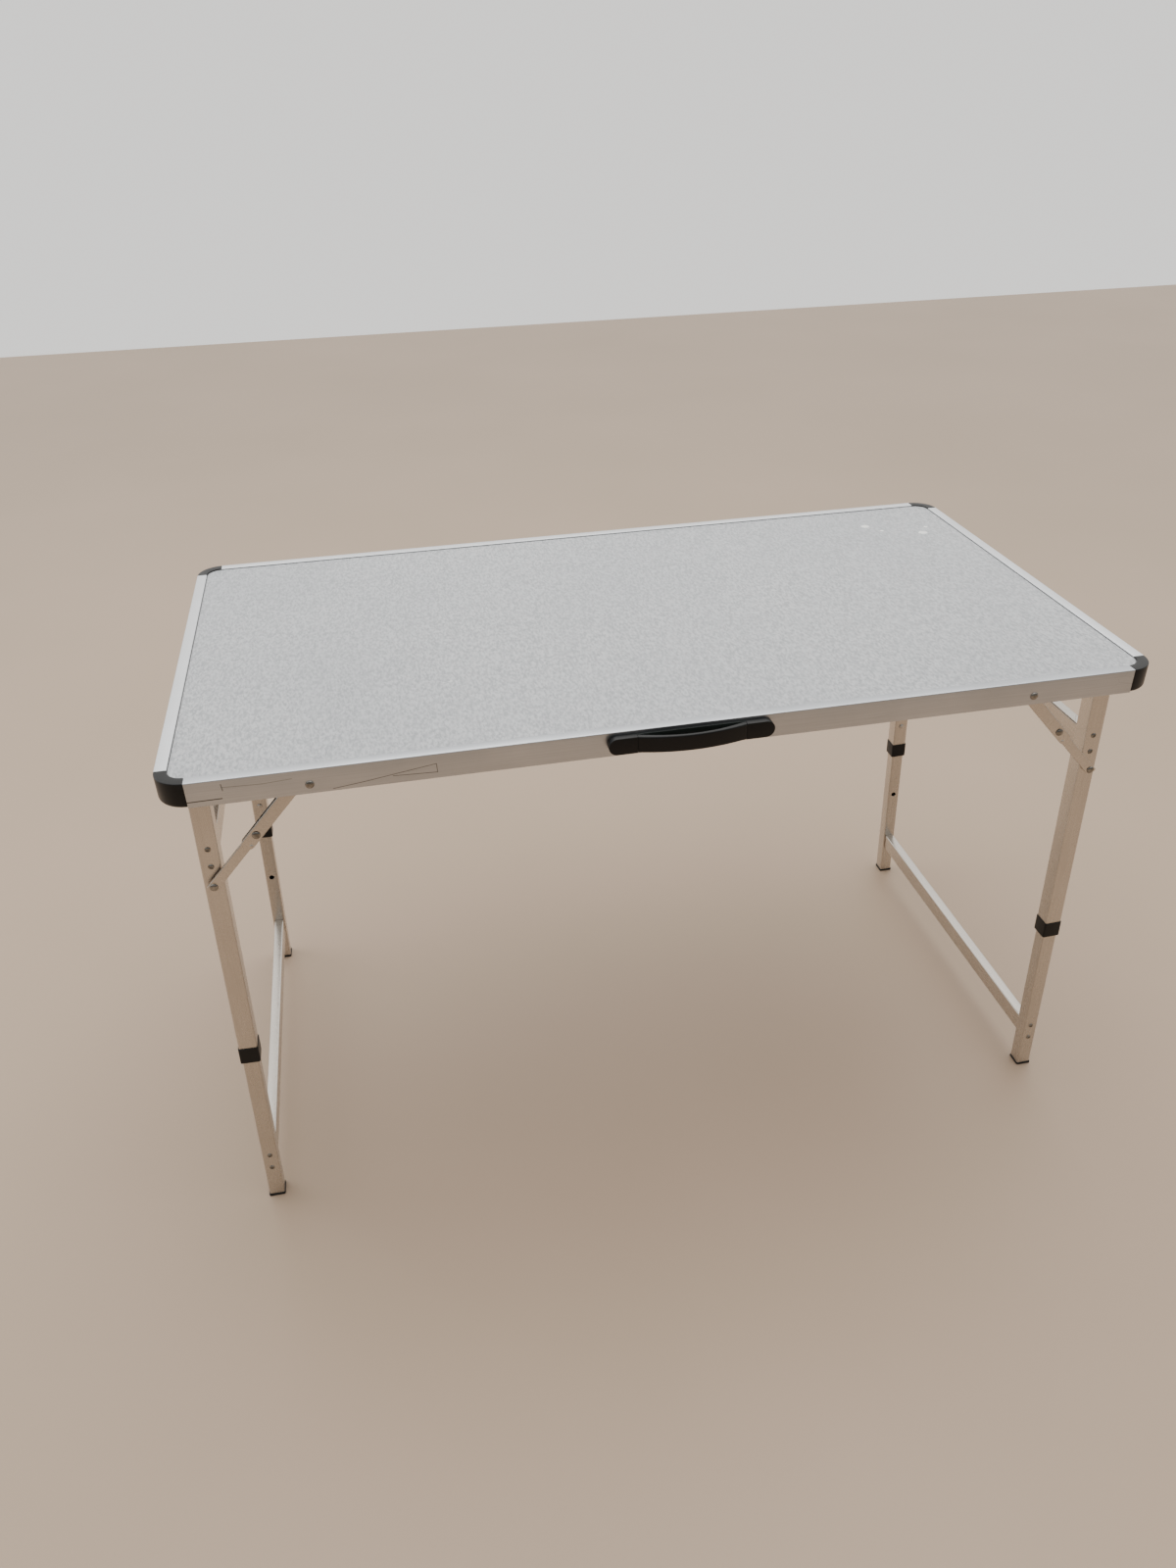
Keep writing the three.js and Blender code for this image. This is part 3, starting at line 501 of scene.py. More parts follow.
def tube(name, half_x, half_y, wall, corner, low, high, axis="Z"):
    """A hollow rounded-rectangle bar, open at both ends."""
    outer = rounded_rectangle(half_x, half_y, corner)
    inner = rounded_rectangle(half_x - wall, half_y - wall, max(corner - wall, 0.3 * MM))
    def put(point, height):
        return (point[0], height, point[1]) if axis == "Y" else (point[0], point[1], height)
    loops = ((outer, low), (outer, high), (inner, high), (inner, low))
    rings = [[put(point, height) for point in outline] for outline, height in loops]
    return loft(name, rings, ring_closed=True)


def turned(name, profile, place, outward, steps=40):
    """A profile of (radius, distance along Y) turned about an axis along Y. The profile starts
    and ends on the axis. outward is the direction along Y in which distance grows."""
    bm = bmesh.new()
    rows = []
    for radius, along in profile:
        y = outward * along
        if radius == 0:
            rows.append([bm.verts.new((0, y, 0))])
            continue
        angles = [2 * math.pi * step / steps for step in range(steps)]
        rows.append([bm.verts.new((radius * math.cos(a), y, radius * math.sin(a))) for a in angles])
    for low, high in zip(rows, rows[1:]):
        for i in range(steps):
            j = (i + 1) % steps
            corners = [low[i % len(low)], low[j % len(low)], high[j % len(high)], high[i % len(high)]]
            bm.faces.new(list(dict.fromkeys(corners)))
    bmesh.ops.translate(bm, verts=bm.verts, vec=place)
    return object_from(name, bm)


def apply_modifiers(piece):
    bpy.context.view_layer.update()
    evaluated = piece.evaluated_get(bpy.context.evaluated_depsgraph_get())
    mesh = bpy.data.meshes.new_from_object(evaluated)
    piece.modifiers.clear()
    piece.data = mesh


def combine(piece, tool, operation):
    """A boolean of two pieces. The tool is used up."""
    modifier = piece.modifiers.new(operation, "BOOLEAN")
    modifier.operation = operation
    modifier.solver = "EXACT"
    modifier.object = tool
    apply_modifiers(piece)
    bpy.data.objects.remove(tool)
    return piece


def drill(piece, place, radius, half_depth):
    """A hole along Y."""
    profile = [(0, -half_depth), (radius, -half_depth), (radius, half_depth), (0, half_depth)]
    return combine(piece, turned("drill", profile, place, 1, 32), "DIFFERENCE")


def soften(piece, width, segments=2, limit=32):
    """Small round edges where faces meet at more than the limit, and smooth shading elsewhere."""
    if width:
        modifier = piece.modifiers.new("soften", "BEVEL")
        modifier.width = width
        modifier.segments = segments
        modifier.limit_method = "ANGLE"
        modifier.angle_limit = math.radians(limit)
        apply_modifiers(piece)
    for polygon in piece.data.polygons:
        polygon.use_smooth = True
    piece.data.set_sharp_from_angle(angle=SHARP_ANGLE)
    return piece


def merged(name, parts):
    """Several loose parts of one physical piece as one object."""
    bm = bmesh.new()
    for part in parts:
        part.data.transform(part.matrix_world)
        bm.from_mesh(part.data)
        bpy.data.objects.remove(part)
    mesh = bpy.data.meshes.new(name)
    bm.to_mesh(mesh)
    bm.free()
    piece = bpy.data.objects.new(name, mesh)
    bpy.context.scene.collection.objects.link(piece)
    return piece


def fit(piece, body, slot, material, *nodes, matrix=None):
    """Puts a piece in the row frame on its body, with its finish, in place of CAD nodes."""
    if matrix is not None:
        piece.data.transform(matrix)
        if matrix.determinant() < 0:
            piece.data.flip_normals()
    if not piece.data.has_custom_normals:
        piece.data.set_sharp_from_angle(angle=SHARP_ANGLE)
    piece.data.materials.clear()
    piece.data.materials.append(material)
    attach(piece, body)
    if nodes:
        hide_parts(*nodes)


def frame_at(origin, x_axis, z_axis):
    """The matrix of a local frame whose Y is the row's Y."""
    columns = (Vector(x_axis), Vector((0, 1, 0)), Vector(z_axis), Vector(origin))
    matrix = Matrix.Identity(4)
    for column, vector in enumerate(columns):
        for row in range(3):
            matrix[row][column] = vector[row]
    return matrix


# ---------------------------------------------------------------- the top

LIP_THICK = 1.3 * MM
RAIL_WALL = 1.6 * MM
RAIL_BOTTOM_RADIUS = 0.9 * MM
SHELF_WIDTH = 12 * MM
FLANGE_WIDTH = 8 * MM
SHELF_TOP = panel_low.z - GAP
SHELF_BOTTOM = SHELF_TOP - LIP_THICK
PANEL_CORNER = 31 * MM
CAP_WALL = 2.4 * MM
CAP_BOTTOM_RADIUS = 5 * MM
CAP_STEPS = 20
TONGUE_THICK = 6 * MM
TONGUE_SPAN = (-10 * MM, 2 * MM)  # along the rail, from the cap's straight edge
TONGUE_LIFT = 1.6 * MM


def edge_section(wall, bottom_radius):
    """Section of the top's edge as (inward distance, height): wall, lip, shelf and flange."""
    lip_under = TOP_Z - LIP_THICK
    flange_top = RAIL_BOTTOM + max(LIP_THICK, wall)
    return filleted([
        (0, RAIL_BOTTOM, bottom_radius),
        (FLANGE_WIDTH, RAIL_BOTTOM, 0.4 * MM),
        (FLANGE_WIDTH, flange_top, 0.4 * MM),
        (wall, flange_top, 0.3 * MM),
        (wall, SHELF_BOTTOM, 0.2 * MM),
        (SHELF_WIDTH, SHELF_BOTTOM, 0.3 * MM),
        (SHELF_WIDTH, SHELF_TOP, 0.3 * MM),
        (wall, SHELF_TOP, 0.1 * MM),
        (wall, lip_under, 0.1 * MM),
        (LIP_WIDTH, lip_under, 0.2 * MM),
        (LIP_WIDTH, TOP_Z, 0.7 * MM),
        (0, TOP_Z, 1.1 * MM),
    ])


def make_panel():
    half_x = panel_high.x
    half_y = (panel_high.y - panel_low.y) / 2
    outline = rounded_rectangle(half_x, half_y, PANEL_CORNER, 12)
    piece = soften(prism("panel_board", outline, panel_low.z, panel_high.z), 0.5 * MM)
    shift = Matrix.Translation((0, MIDDLE_Y, 0))
    fit(piece, "tabletop", "panel_laminate", LAMINATE, "top_panel", matrix=shift)


def make_rails():
    section = edge_section(RAIL_WALL, RAIL_BOTTOM_RADIUS)
    anchor = JOINTS["stay_top_front_left"]["pos_m"]
    for name, side in SIDES:
        low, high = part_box(f"{name}_rail")
        edge = FRONT_Y if side < 0 else BACK_Y
        outline = [(edge - side * inward, height) for inward, height in section]
        piece = prism(f"{name}_rail_bar", outline, low.x, high.x, "X")
        for x in (anchor[0], -anchor[0]):
            piece = drill(piece, (x, edge, anchor[2]), PIN_HOLE, 5 * MM)
        # The front rail gets the darker copy of the aluminium: painted shade.
        finish = RAIL_FRONT_SHADED if side < 0 else RAIL_BACK
        fit(soften(piece, 0.15 * MM, 1), "tabletop", "rail_aluminium", finish, f"{name}_rail")
    for name, side in ENDS:
        low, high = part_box(f"{name}_rail")
        outline = [(side * (HALF_LENGTH - inward), height) for inward, height in section]
        piece = prism(f"{name}_rail_bar", outline, low.y, high.y, "Y")
        fit(soften(piece, 0.15 * MM, 1), "tabletop", "rail_aluminium", RAIL_ENDS, f"{name}_rail")


def cap_tongues(centre, side, depth_side):
    """The two blocks that plug the cap into the rails' ends."""
    outer = CAP_REACH - RAIL_WALL - GAP
    across = (outer - TONGUE_THICK, outer)
    tongues = []
    for spans in ((TONGUE_SPAN, across), (across, TONGUE_SPAN)):
        corners = [(centre[0] + side * spans[0][i], centre[1] + depth_side * spans[1][j])
            for i, j in ((0, 0), (1, 0), (1, 1), (0, 1))]
        block = prism("tongue", corners, RAIL_BOTTOM + TONGUE_LIFT, SHELF_BOTTOM - GAP)
        tongues.append(soften(block, 0.6 * MM))
    return tongues


def make_caps():
    section = edge_section(CAP_WALL, CAP_BOTTOM_RADIUS)
    for end, side in ENDS:
        for face, depth_side in SIDES:
            centre = (side * (HALF_LENGTH - CAP_REACH), MIDDLE_Y + depth_side * (HALF_DEPTH - CAP_REACH))
            rings = []
            for step in range(CAP_STEPS + 1):
                angle = math.pi / 2 * step / CAP_STEPS
                x, y = side * math.cos(angle), depth_side * math.sin(angle)
                rings.append([(centre[0] + x * (CAP_REACH - inward),
                    centre[1] + y * (CAP_REACH - inward), height) for inward, height in section])
            quarter = soften(loft(f"corner_{face}_{end}", rings), 0.35 * MM)
            piece = merged(f"corner_cap_{face}_{end}_moulding",
                [quarter] + cap_tongues(centre, side, depth_side))
            fit(piece, "tabletop", "black_plastic", BLACK_PLASTIC, f"corner_cap_{face}_{end}")


# ---------------------------------------------------------------- the handle


ROUND_END_INSET = 0.1 * MM
POCKET_LENGTH = 14.3 * MM
POCKET_HALF_HEIGHT = 6.8 * MM
POCKET_DEPTH = 6.2 * MM
STRAP_THICK = 5 * MM
STRAP_CORNER = 1.9 * MM
STRAP_STEPS = 48
TAB_HALF_HEIGHT = 6.5 * MM
TAB_THICK = 2.6 * MM


def handle_block(end, side, middle_z):
    """An end block: half a stadium from the front, with a pocket for the strap's tab."""
    low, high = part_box(f"handle_end_{end}")
    radius = (high.z - low.z) / 2 - ROUND_END_INSET
    inner, outer = sorted((low.x, high.x), key=abs)
    corners = [(inner, low.z, 0.4 * MM), (outer, low.z, radius), (outer, high.z, radius),
        (inner, high.z, 0.4 * MM)]
    block = prism(f"handle_end_{end}_block", filleted(corners, 10), low.y, high.y, "Y")
    mouth, bottom = inner - side * 2 * MM, inner + side * POCKET_LENGTH
    floor, roof = middle_z - POCKET_HALF_HEIGHT, middle_z + POCKET_HALF_HEIGHT
    outline = [(mouth, floor), (bottom, floor), (bottom, roof), (mouth, roof)]
    pocket = prism("pocket", outline, high.y - POCKET_DEPTH, high.y + 1 * MM, "Y")
    return soften(combine(block, pocket, "DIFFERENCE"), 1.3 * MM, 4, 50)


def make_handle():
    base_low, base_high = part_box("handle_base")
    half = (base_high - base_low) / 2
    middle_z = ((base_high + base_low) / 2).z
    plan = rounded_rectangle(half.x, half.z, half.z - ROUND_END_INSET, 10)
    outline = [(x, z + middle_z) for x, z in plan]
    base = soften(prism("handle_base_plate", outline, base_low.y, base_high.y, "Y"), 0.6 * MM, 3)
    fit(base, "tabletop", "dark_plastic", DARK_PLASTIC, "handle_base")
    for end, side in ENDS:
        block = handle_block(end, side, middle_z)
        fit(block, "tabletop", "black_plastic", BLACK_PLASTIC, f"handle_end_{end}")
    make_strap(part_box("handle_end_right")[0], middle_z)


def make_strap(block_low, middle_z):
    """A bowed bar of rounded section between the blocks, with a flat tab at each end."""
    low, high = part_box("handle_strap")
    end_x = block_low.x - GAP
    front_end, front_mid = block_low.y, low.y
    back_end, back_mid = high.y, low.y + STRAP_THICK
    half_height = (high.z - low.z) / 2
    rings = []
    for step in range(STRAP_STEPS + 1):
        share = 2 * step / STRAP_STEPS - 1
        front = front_mid + (front_end - front_mid) * share ** 2
        back = back_mid + (back_end - back_mid) * share ** 2
        section = rounded_rectangle((back - front) / 2, half_height, STRAP_CORNER, 5)
        rings.append([(share * end_x, y + (front + back) / 2, z + middle_z) for y, z in section])
    bar = soften(loft("strap_bar", rings), 0.3 * MM, 2, 50)
    tabs = []
    floor, roof = middle_z - TAB_HALF_HEIGHT, middle_z + TAB_HALF_HEIGHT
    for side in (-1, 1):
        start, stop = sorted((side * (end_x - 2 * MM), side * high.x))
        corners = [(start, floor), (stop, floor), (stop, roof), (start, roof)]
        tabs.append(soften(prism("tab", corners, high.y - TAB_THICK, high.y, "Y"), 0.4 * MM))
    piece = merged("handle_strap_grip", [bar] + tabs)
    fit(piece, "handle_strap", "black_plastic", BLACK_PLASTIC, "handle_strap")


# ---------------------------------------------------------------- rivets and pins

PIN_HEAD = 5 * MM
HEAD_RIM = 0.35 * MM
STAY_HEAD_HEIGHT = 2.3 * MM
RAIL_HEAD_HEIGHT = 2.5 * MM
HINGE_HEAD_HEIGHT = 1 * MM
BLIND_HEAD = 3.6 * MM
BLIND_HEIGHT = 1.6 * MM
BLIND_SHANK = 2 * MM


def dome(radius, height, rim, steps=8):
    """Profile of a domed head from its rim to its crown, with a short upright rim."""
    points = [(radius, rim)]
    for step in range(1, steps):
        angle = math.pi / 2 * step / steps
        points.append((radius * math.cos(angle), rim + (height - rim) * math.sin(angle)))
    return points + [(0, height)]


def rivet(name, place, outward, height, length):
    """Domed head on a shank. place is on the surface under the head."""
    profile = [(0, -length), (PIN_RADIUS, -length), (PIN_RADIUS, 0), (PIN_HEAD - 0.2 * MM, 0)]
    return soften(turned(name, profile + dome(PIN_HEAD, height, HEAD_RIM), place, outward), 0)


def blind_rivet(name, place, outward, length):
    """A pulled rivet: a domed head with the broken pin sunk in its middle."""
    bore = 0.5 * BLIND_HEAD
    edge = 0.9 * BLIND_HEIGHT
    profile = [(0, -length), (BLIND_SHANK, -length), (BLIND_SHANK, 0), (BLIND_HEAD - 0.15 * MM, 0)]
    crown = dome(BLIND_HEAD, BLIND_HEIGHT, 0.25 * MM)
    profile += [point for point in crown if point[0] > bore * 1.05]
    profile += [(bore, edge), (bore * 0.92, edge - 0.9 * MM), (0, edge - 0.8 * MM)]
    return soften(turned(name, profile, place, outward), 0)


# ---------------------------------------------------------------- legs

LEG_OUTER = 12 * MM
LEG_INNER = 10.4 * MM
LEG_WALL = 1.3 * MM
CROSSBAR_HALF = (7.5 * MM, 15 * MM)
RIVET_PITCH = 24.6 * MM
WEB_HALF = 3.7 * MM
WEB_DEPTH = 14 * MM
WEB_GRIP = 6 * MM  # how far a crossbar's rivets go past the leg, into the web
LEG_CORNER = 2 * MM
INNER_LEG_CORNER = 1.7 * MM
HINGE_PIN_LENGTH = 29 * MM
HINGE_PIN_LIFT = 2.1 * MM  # of the head's seat past the leg's face, over the bracket
BUTTON_RADIUS = 4 * MM
BUTTON_HOLE = BUTTON_RADIUS + GAP
BUTTON_BODY = 2.2 * MM
BUTTON_DOME = 1.4 * MM
COLLAR_HALF = 13 * MM
FOOT_HALF = 11.5 * MM
LEG_Y = (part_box("upper_leg_back_left")[1].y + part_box("upper_leg_back_left")[0].y) / 2 - MIDDLE_Y


def leg_frame(end):
    """Local frame of a leg: origin on its pivot, Z up along the leg, X along the table."""
    origin = JOINTS[f"{end}_fold"]["pos_m"]
    up = Vector(JOINTS[f"{end}_height"]["axis"]).normalized()
    across = Vector((0, 1, 0)).cross(up)
    return frame_at((origin[0], MIDDLE_Y, origin[2]), across, up)


def reach_along(end, node):
    """Lowest and highest distance of a node along its leg, from the pivot."""
    inverse = leg_frame(end).inverted()
    heights = [(inverse @ vertex.co).z for vertex in frame["nodes"][node].data.vertices]
    return min(heights), max(heights)


def upper_leg(name, y, depth_side, low):
    """A square tube whose top is rounded about the hinge."""
    piece = tube(name, LEG_OUTER, LEG_OUTER, LEG_WALL, LEG_CORNER, low, LEG_OUTER)
    piece.data.transform(Matrix.Translation((0, y, 0)))
    wide = 2 * LEG_OUTER
    shoulder = -0.2 * MM
    outline = [(-wide, low - MM), (wide, low - MM), (wide, shoulder)]
    outline += arc((0, 0), LEG_OUTER + 0.02 * MM, 0, 180, 24) + [(-wide, shoulder)]
    region = prism("region", outline, y - wide, y + wide, "Y")
    piece = combine(piece, region, "INTERSECT")
    inner_face = y - depth_side * LEG_OUTER
    piece = drill(piece, (0, inner_face, -BUTTON_DROP), BUTTON_HOLE, 3 * MM)
    piece = drill(piece, (0, y, 0), PIN_HOLE, 20 * MM)
    return soften(piece, 0.12 * MM, 1, 50)


def lower_leg(name, y, depth_side, low, high):
    """A thinner tube with a button hole for each of the two heights."""
    piece = tube(name, LEG_INNER, LEG_INNER, LEG_WALL, INNER_LEG_CORNER, low, high)
    piece.data.transform(Matrix.Translation((0, y, 0)))
    inner_face = y - depth_side * LEG_INNER
    for drop in (BUTTON_DROP, BUTTON_DROP + HEIGHT_TRAVEL):
        piece = drill(piece, (0, inner_face, -drop), BUTTON_HOLE, 3 * MM)
    return soften(piece, 0.12 * MM, 1, 50)


def square_ring(half, corner, y, height, steps=6):
    return [(x, y + across, height) for x, across in rounded_rectangle(half, half, corner, steps)]


def leg_collar(name, y, low, high):
    """A moulded sleeve over the upper leg's end, with a stepped bore and small chamfers."""
    lower_bore, upper_bore = LEG_INNER + GAP, LEG_OUTER + GAP
    step = low + 3.4 * MM
    corner = 2.6 * MM
    chamfer, top_chamfer = 0.6 * MM, 0.35 * MM
    rings = [
        square_ring(COLLAR_HALF - chamfer, corner, y, low),
        square_ring(COLLAR_HALF, corner, y, low + chamfer),
        square_ring(COLLAR_HALF, corner, y, high - top_chamfer),
        square_ring(COLLAR_HALF - top_chamfer, corner, y, high),
        square_ring(upper_bore, 2 * MM, y, high),
        square_ring(upper_bore, 2 * MM, y, step),
        square_ring(lower_bore, 1.5 * MM, y, step),
        square_ring(lower_bore, 1.5 * MM, y, low),
    ]
    return soften(loft(name, rings, ring_closed=True), 0)


def leg_foot(name, y, end, high):
    """A square pad cut level with the floor under a plug that fills the tube's end."""
    lean = math.asin(abs(JOINTS[f"{end}_height"]["axis"][0]))
    slope = math.tan(lean) if end == "left" else -math.tan(lean)
    floor = -PIVOT_Z / math.cos(lean)
    plug_half = LEG_INNER - LEG_WALL - GAP
    outline = rounded_rectangle(FOOT_HALF, FOOT_HALF, 2.2 * MM, 5)
    rim = rounded_rectangle(FOOT_HALF - 0.5 * MM, FOOT_HALF - 0.5 * MM, 1.8 * MM, 5)
    plug = rounded_rectangle(plug_half, plug_half, 1 * MM, 5)
    rings = [[(x, y + v, floor + slope * x) for x, v in rim]]
    rings.append([(x, y + v, floor + slope * x + 0.5 * MM) for x, v in outline])
    rings.append([(x, y + v, floor + 2.8 * MM) for x, v in outline])
    for section, height in ((rim, floor + 3.3 * MM), (plug, floor + 3.3 * MM), (plug, high)):
        rings.append([(x, y + v, height) for x, v in section])
    return soften(loft(name, rings), 0)


BUTTON_DROP = -sum(reach_along("left", "snap_button_front_left")) / 2
HEIGHT_TRAVEL = JOINTS["left_height"]["range_m"][1]


def make_crossbar(name, node, end, half_leg, body):
    """A bar between the legs, with a web in each end that its rivets hold."""
    low, high = reach_along(end, node)
    drop = -(low + high) / 2
    reach = LEG_Y - half_leg - GAP
    bar = tube(f"{name}_{end}_tube", *CROSSBAR_HALF, LEG_WALL, LEG_CORNER, -reach, reach, "Y")
    bar = soften(bar, 0.15 * MM, 1, 50)
    webs = []
    for _, depth_side in SIDES:
        spans = sorted((depth_side * (reach - 0.4 * MM), depth_side * (reach - WEB_DEPTH)))
        outline = rounded_rectangle(WEB_HALF, CROSSBAR_HALF[1] - LEG_WALL - 0.02 * MM, 0.5 * MM, 3)
        webs.append(soften(prism("web", outline, *spans, "Y"), 0))
    bar = merged(f"{name}_{end}_bar", [bar] + webs)
    matrix = leg_frame(end) @ Matrix.Translation((0, 0, -drop))
    fit(bar, body, "leg_aluminium", BAR_ALUMINIUM, node, matrix=matrix)
    for face, depth_side in SIDES:
        for number, offset in enumerate((RIVET_PITCH / 2, -RIVET_PITCH / 2), 1):
            place = (0, depth_side * (LEG_Y + half_leg), offset)
            pin = blind_rivet(f"{name}_rivet_{face}_{end}_{number}", place, depth_side,
                2 * half_leg + WEB_GRIP)
            fit(pin, body, "plated_steel", RIVET_STEEL, matrix=matrix)


def make_legs():
    for end, _ in ENDS:
        matrix = leg_frame(end)
        upper, lower = f"{end}_upper_frame", f"{end}_lower_frame"
        for face, depth_side in SIDES:
            y = depth_side * LEG_Y
            key = f"{face}_{end}"
            low, _ = reach_along(end, f"upper_leg_{key}")
            piece = upper_leg(f"upper_leg_{key}_tube", y, depth_side, low)
            fit(piece, upper, "leg_aluminium", LEG_ALUMINIUM, f"upper_leg_{key}", matrix=matrix)
            piece = lower_leg(f"lower_leg_{key}_tube", y, depth_side, *reach_along(end, f"lower_leg_{key}"))
            fit(piece, lower, "leg_aluminium", LEG_ALUMINIUM, f"lower_leg_{key}", matrix=matrix)
            piece = leg_collar(f"leg_collar_{key}_sleeve", y, *reach_along(end, f"leg_collar_{key}"))
            fit(piece, upper, "black_plastic", BLACK_PLASTIC, f"leg_collar_{key}", matrix=matrix)
            piece = leg_foot(f"foot_{key}_pad", y, end, reach_along(end, f"foot_{key}")[1])
            fit(piece, lower, "black_plastic", BLACK_PLASTIC, f"foot_{key}", matrix=matrix)
            make_snap_button(key, y, depth_side, matrix)
            place = (0, y + depth_side * (LEG_OUTER + HINGE_PIN_LIFT), 0)
            pin = rivet(f"hinge_pin_{key}_rivet", place, depth_side, HINGE_HEAD_HEIGHT, HINGE_PIN_LENGTH)
            fit(pin, upper, "plated_steel", STEEL, f"hinge_pin_{key}", matrix=matrix)
        make_crossbar("upper_crossbar", f"upper_crossbar_{end}", end, LEG_OUTER, upper)
        make_crossbar("lower_crossbar", f"lower_crossbar_{end}", end, LEG_INNER, lower)


def make_snap_button(key, y, depth_side, matrix):
    inner_end = abs(y) - LEG_OUTER + LEG_WALL
    profile = [(0, 0), (BUTTON_RADIUS, 0), (BUTTON_RADIUS, BUTTON_BODY)]
    crown = dome(BUTTON_RADIUS, BUTTON_DOME, 0.05 * MM)[1:]
    profile += [(radius, along + BUTTON_BODY) for radius, along in crown]
    place = (0, depth_side * inner_end, -BUTTON_DROP)
    piece = soften(turned(f"snap_button_{key}_plunger", profile, place, -depth_side), 0)
    fit(piece, f"snap_button_{key}", "plated_steel", STEEL, f"snap_button_{key}", matrix=matrix)


# ---------------------------------------------------------------- hinge brackets


BRACKET_THICK = 1.5 * MM
BRACKET_BEND = 2.4 * MM
CHEEK_CORNER = 0.3 * MM


def make_brackets():
    """Sheet steel bent into a U about each leg's top."""
    inner_bend = BRACKET_BEND - BRACKET_THICK
    for end, side in ENDS:
        for face, _ in SIDES:
            low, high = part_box(f"hinge_bracket_{face}_{end}")
            back, mouth = (high.x, low.x) if side > 0 else (low.x, high.x)
            floor = back - side * BRACKET_THICK
            corners = [
                (mouth, low.y, CHEEK_CORNER), (back, low.y, BRACKET_BEND),
                (back, high.y, BRACKET_BEND), (mouth, high.y, CHEEK_CORNER),
                (mouth, high.y - BRACKET_THICK, CHEEK_CORNER),
                (floor, high.y - BRACKET_THICK, inner_bend),
                (floor, low.y + BRACKET_THICK, inner_bend),
                (mouth, low.y + BRACKET_THICK, CHEEK_CORNER),
            ]
            piece = prism(f"hinge_bracket_{face}_{end}_sheet", filleted(corners, 5), low.z, high.z)
            pivot_x = JOINTS[f"{end}_fold"]["pos_m"][0]
            piece = drill(piece, (pivot_x, (low.y + high.y) / 2, PIVOT_Z), PIN_HOLE, 20 * MM)
            fit(soften(piece, 0.3 * MM, 2, 50), "tabletop", "plated_steel", STEEL,
                f"hinge_bracket_{face}_{end}")


# ---------------------------------------------------------------- stays

UPPER_HALF = 7.8 * MM
LOWER_HALF = 6.2 * MM
UPPER_FACES = 3.85 * MM  # from a link's middle to its flanges' outer faces
LOWER_FACES = 2.25 * MM
LINK_WALL = 1.2 * MM
BEND_RADIUS = 1.1 * MM
LINK_TAIL = 24 * MM
SLOT_HALF = 5.5 * MM
LEG_END_CORNERS = (5.5 * MM, 0.8 * MM)  # under and over the lower link's end at the leg
DIMPLE_RADIUS = 2.4 * MM
DIMPLE_OFFSET = (16 * MM, -4.4 * MM)  # past the middle rivet and off the stay's line
DIMPLE_SUNK = 0.3 * MM


def channel(name, outline, faces, half, web_side, web_span):
    """A bent sheet channel: two flanges with this outline and a web along one edge."""
    piece = soften(prism(name, outline, *faces, "Y"), BEND_RADIUS, 4, 50)
    inner = (faces[0] + LINK_WALL, faces[1] - LINK_WALL)
    web_face = web_side * (half - LINK_WALL)
    far, near = 4 * half * web_side, -4 * half * web_side
    reach = (web_span[0] - 4 * half, web_span[1] + 4 * half)
    pocket = [
        (reach[0], near), (reach[1], near), (reach[1], far), (web_span[1], far), (web_span[1], web_face),
        (web_span[0], web_face), (web_span[0], far), (reach[0], far),
    ]
    return combine(piece, prism("pocket", pocket, *inner, "Y"), "DIFFERENCE")


def link_outline(x1, half, steps=12):
    return arc((x1 - half, 0), half, -90, 90, steps) + arc((0, 0), half, 90, 270, steps)


def upper_link(name, length, slot_at, faces, outward):
    """Channel open on its upper side, with a slot for the leg rivet when the stay is folded."""
    end = length + LINK_TAIL
    piece = channel(name, link_outline(end, UPPER_HALF), faces, UPPER_HALF, -1, (0, end - UPPER_HALF))
    middle = sum(faces) / 2
    outline = arc((slot_at, 0), SLOT_HALF, 180, 360, 16)
    outline += [(slot_at + SLOT_HALF, 2 * UPPER_HALF), (slot_at - SLOT_HALF, 2 * UPPER_HALF)]
    reach = 9 * MM
    piece = combine(piece, prism("slot", outline, middle - reach, middle + reach, "Y"), "DIFFERENCE")
    for x in (0, length):
        piece = drill(piece, (x, middle, 0), PIN_HOLE, reach)
    dimple_face = faces[1] if outward > 0 else faces[0]
    past, off = DIMPLE_OFFSET
    place = (length + past, dimple_face - outward * DIMPLE_SUNK, off)
    crown = [(0, 0)] + dome(DIMPLE_RADIUS, 1.3 * MM, 0.05 * MM)
    dimple = soften(turned("dimple", crown, place, outward, 24), 0)
    return merged(name, [soften(piece, 0.18 * MM, 1, 50), dimple])


def lower_link(name, length, faces):
    """Narrower channel, closed on its upper side, with square upper corners at the leg."""
    piece = channel(name, lower_outline(length), faces, LOWER_HALF, 1, (0, length))
    return soften(piece, 0.18 * MM, 1, 50)


def lower_outline(length):
    end = length + LOWER_HALF
    under, over = LEG_END_CORNERS
    rounded = arc((end - under, under - LOWER_HALF), under, -90, 0, 8)
    square = arc((end - over, LOWER_HALF - over), over, 0, 90, 3)
    return rounded + square + arc((0, 0), LOWER_HALF, 90, 270, 12)


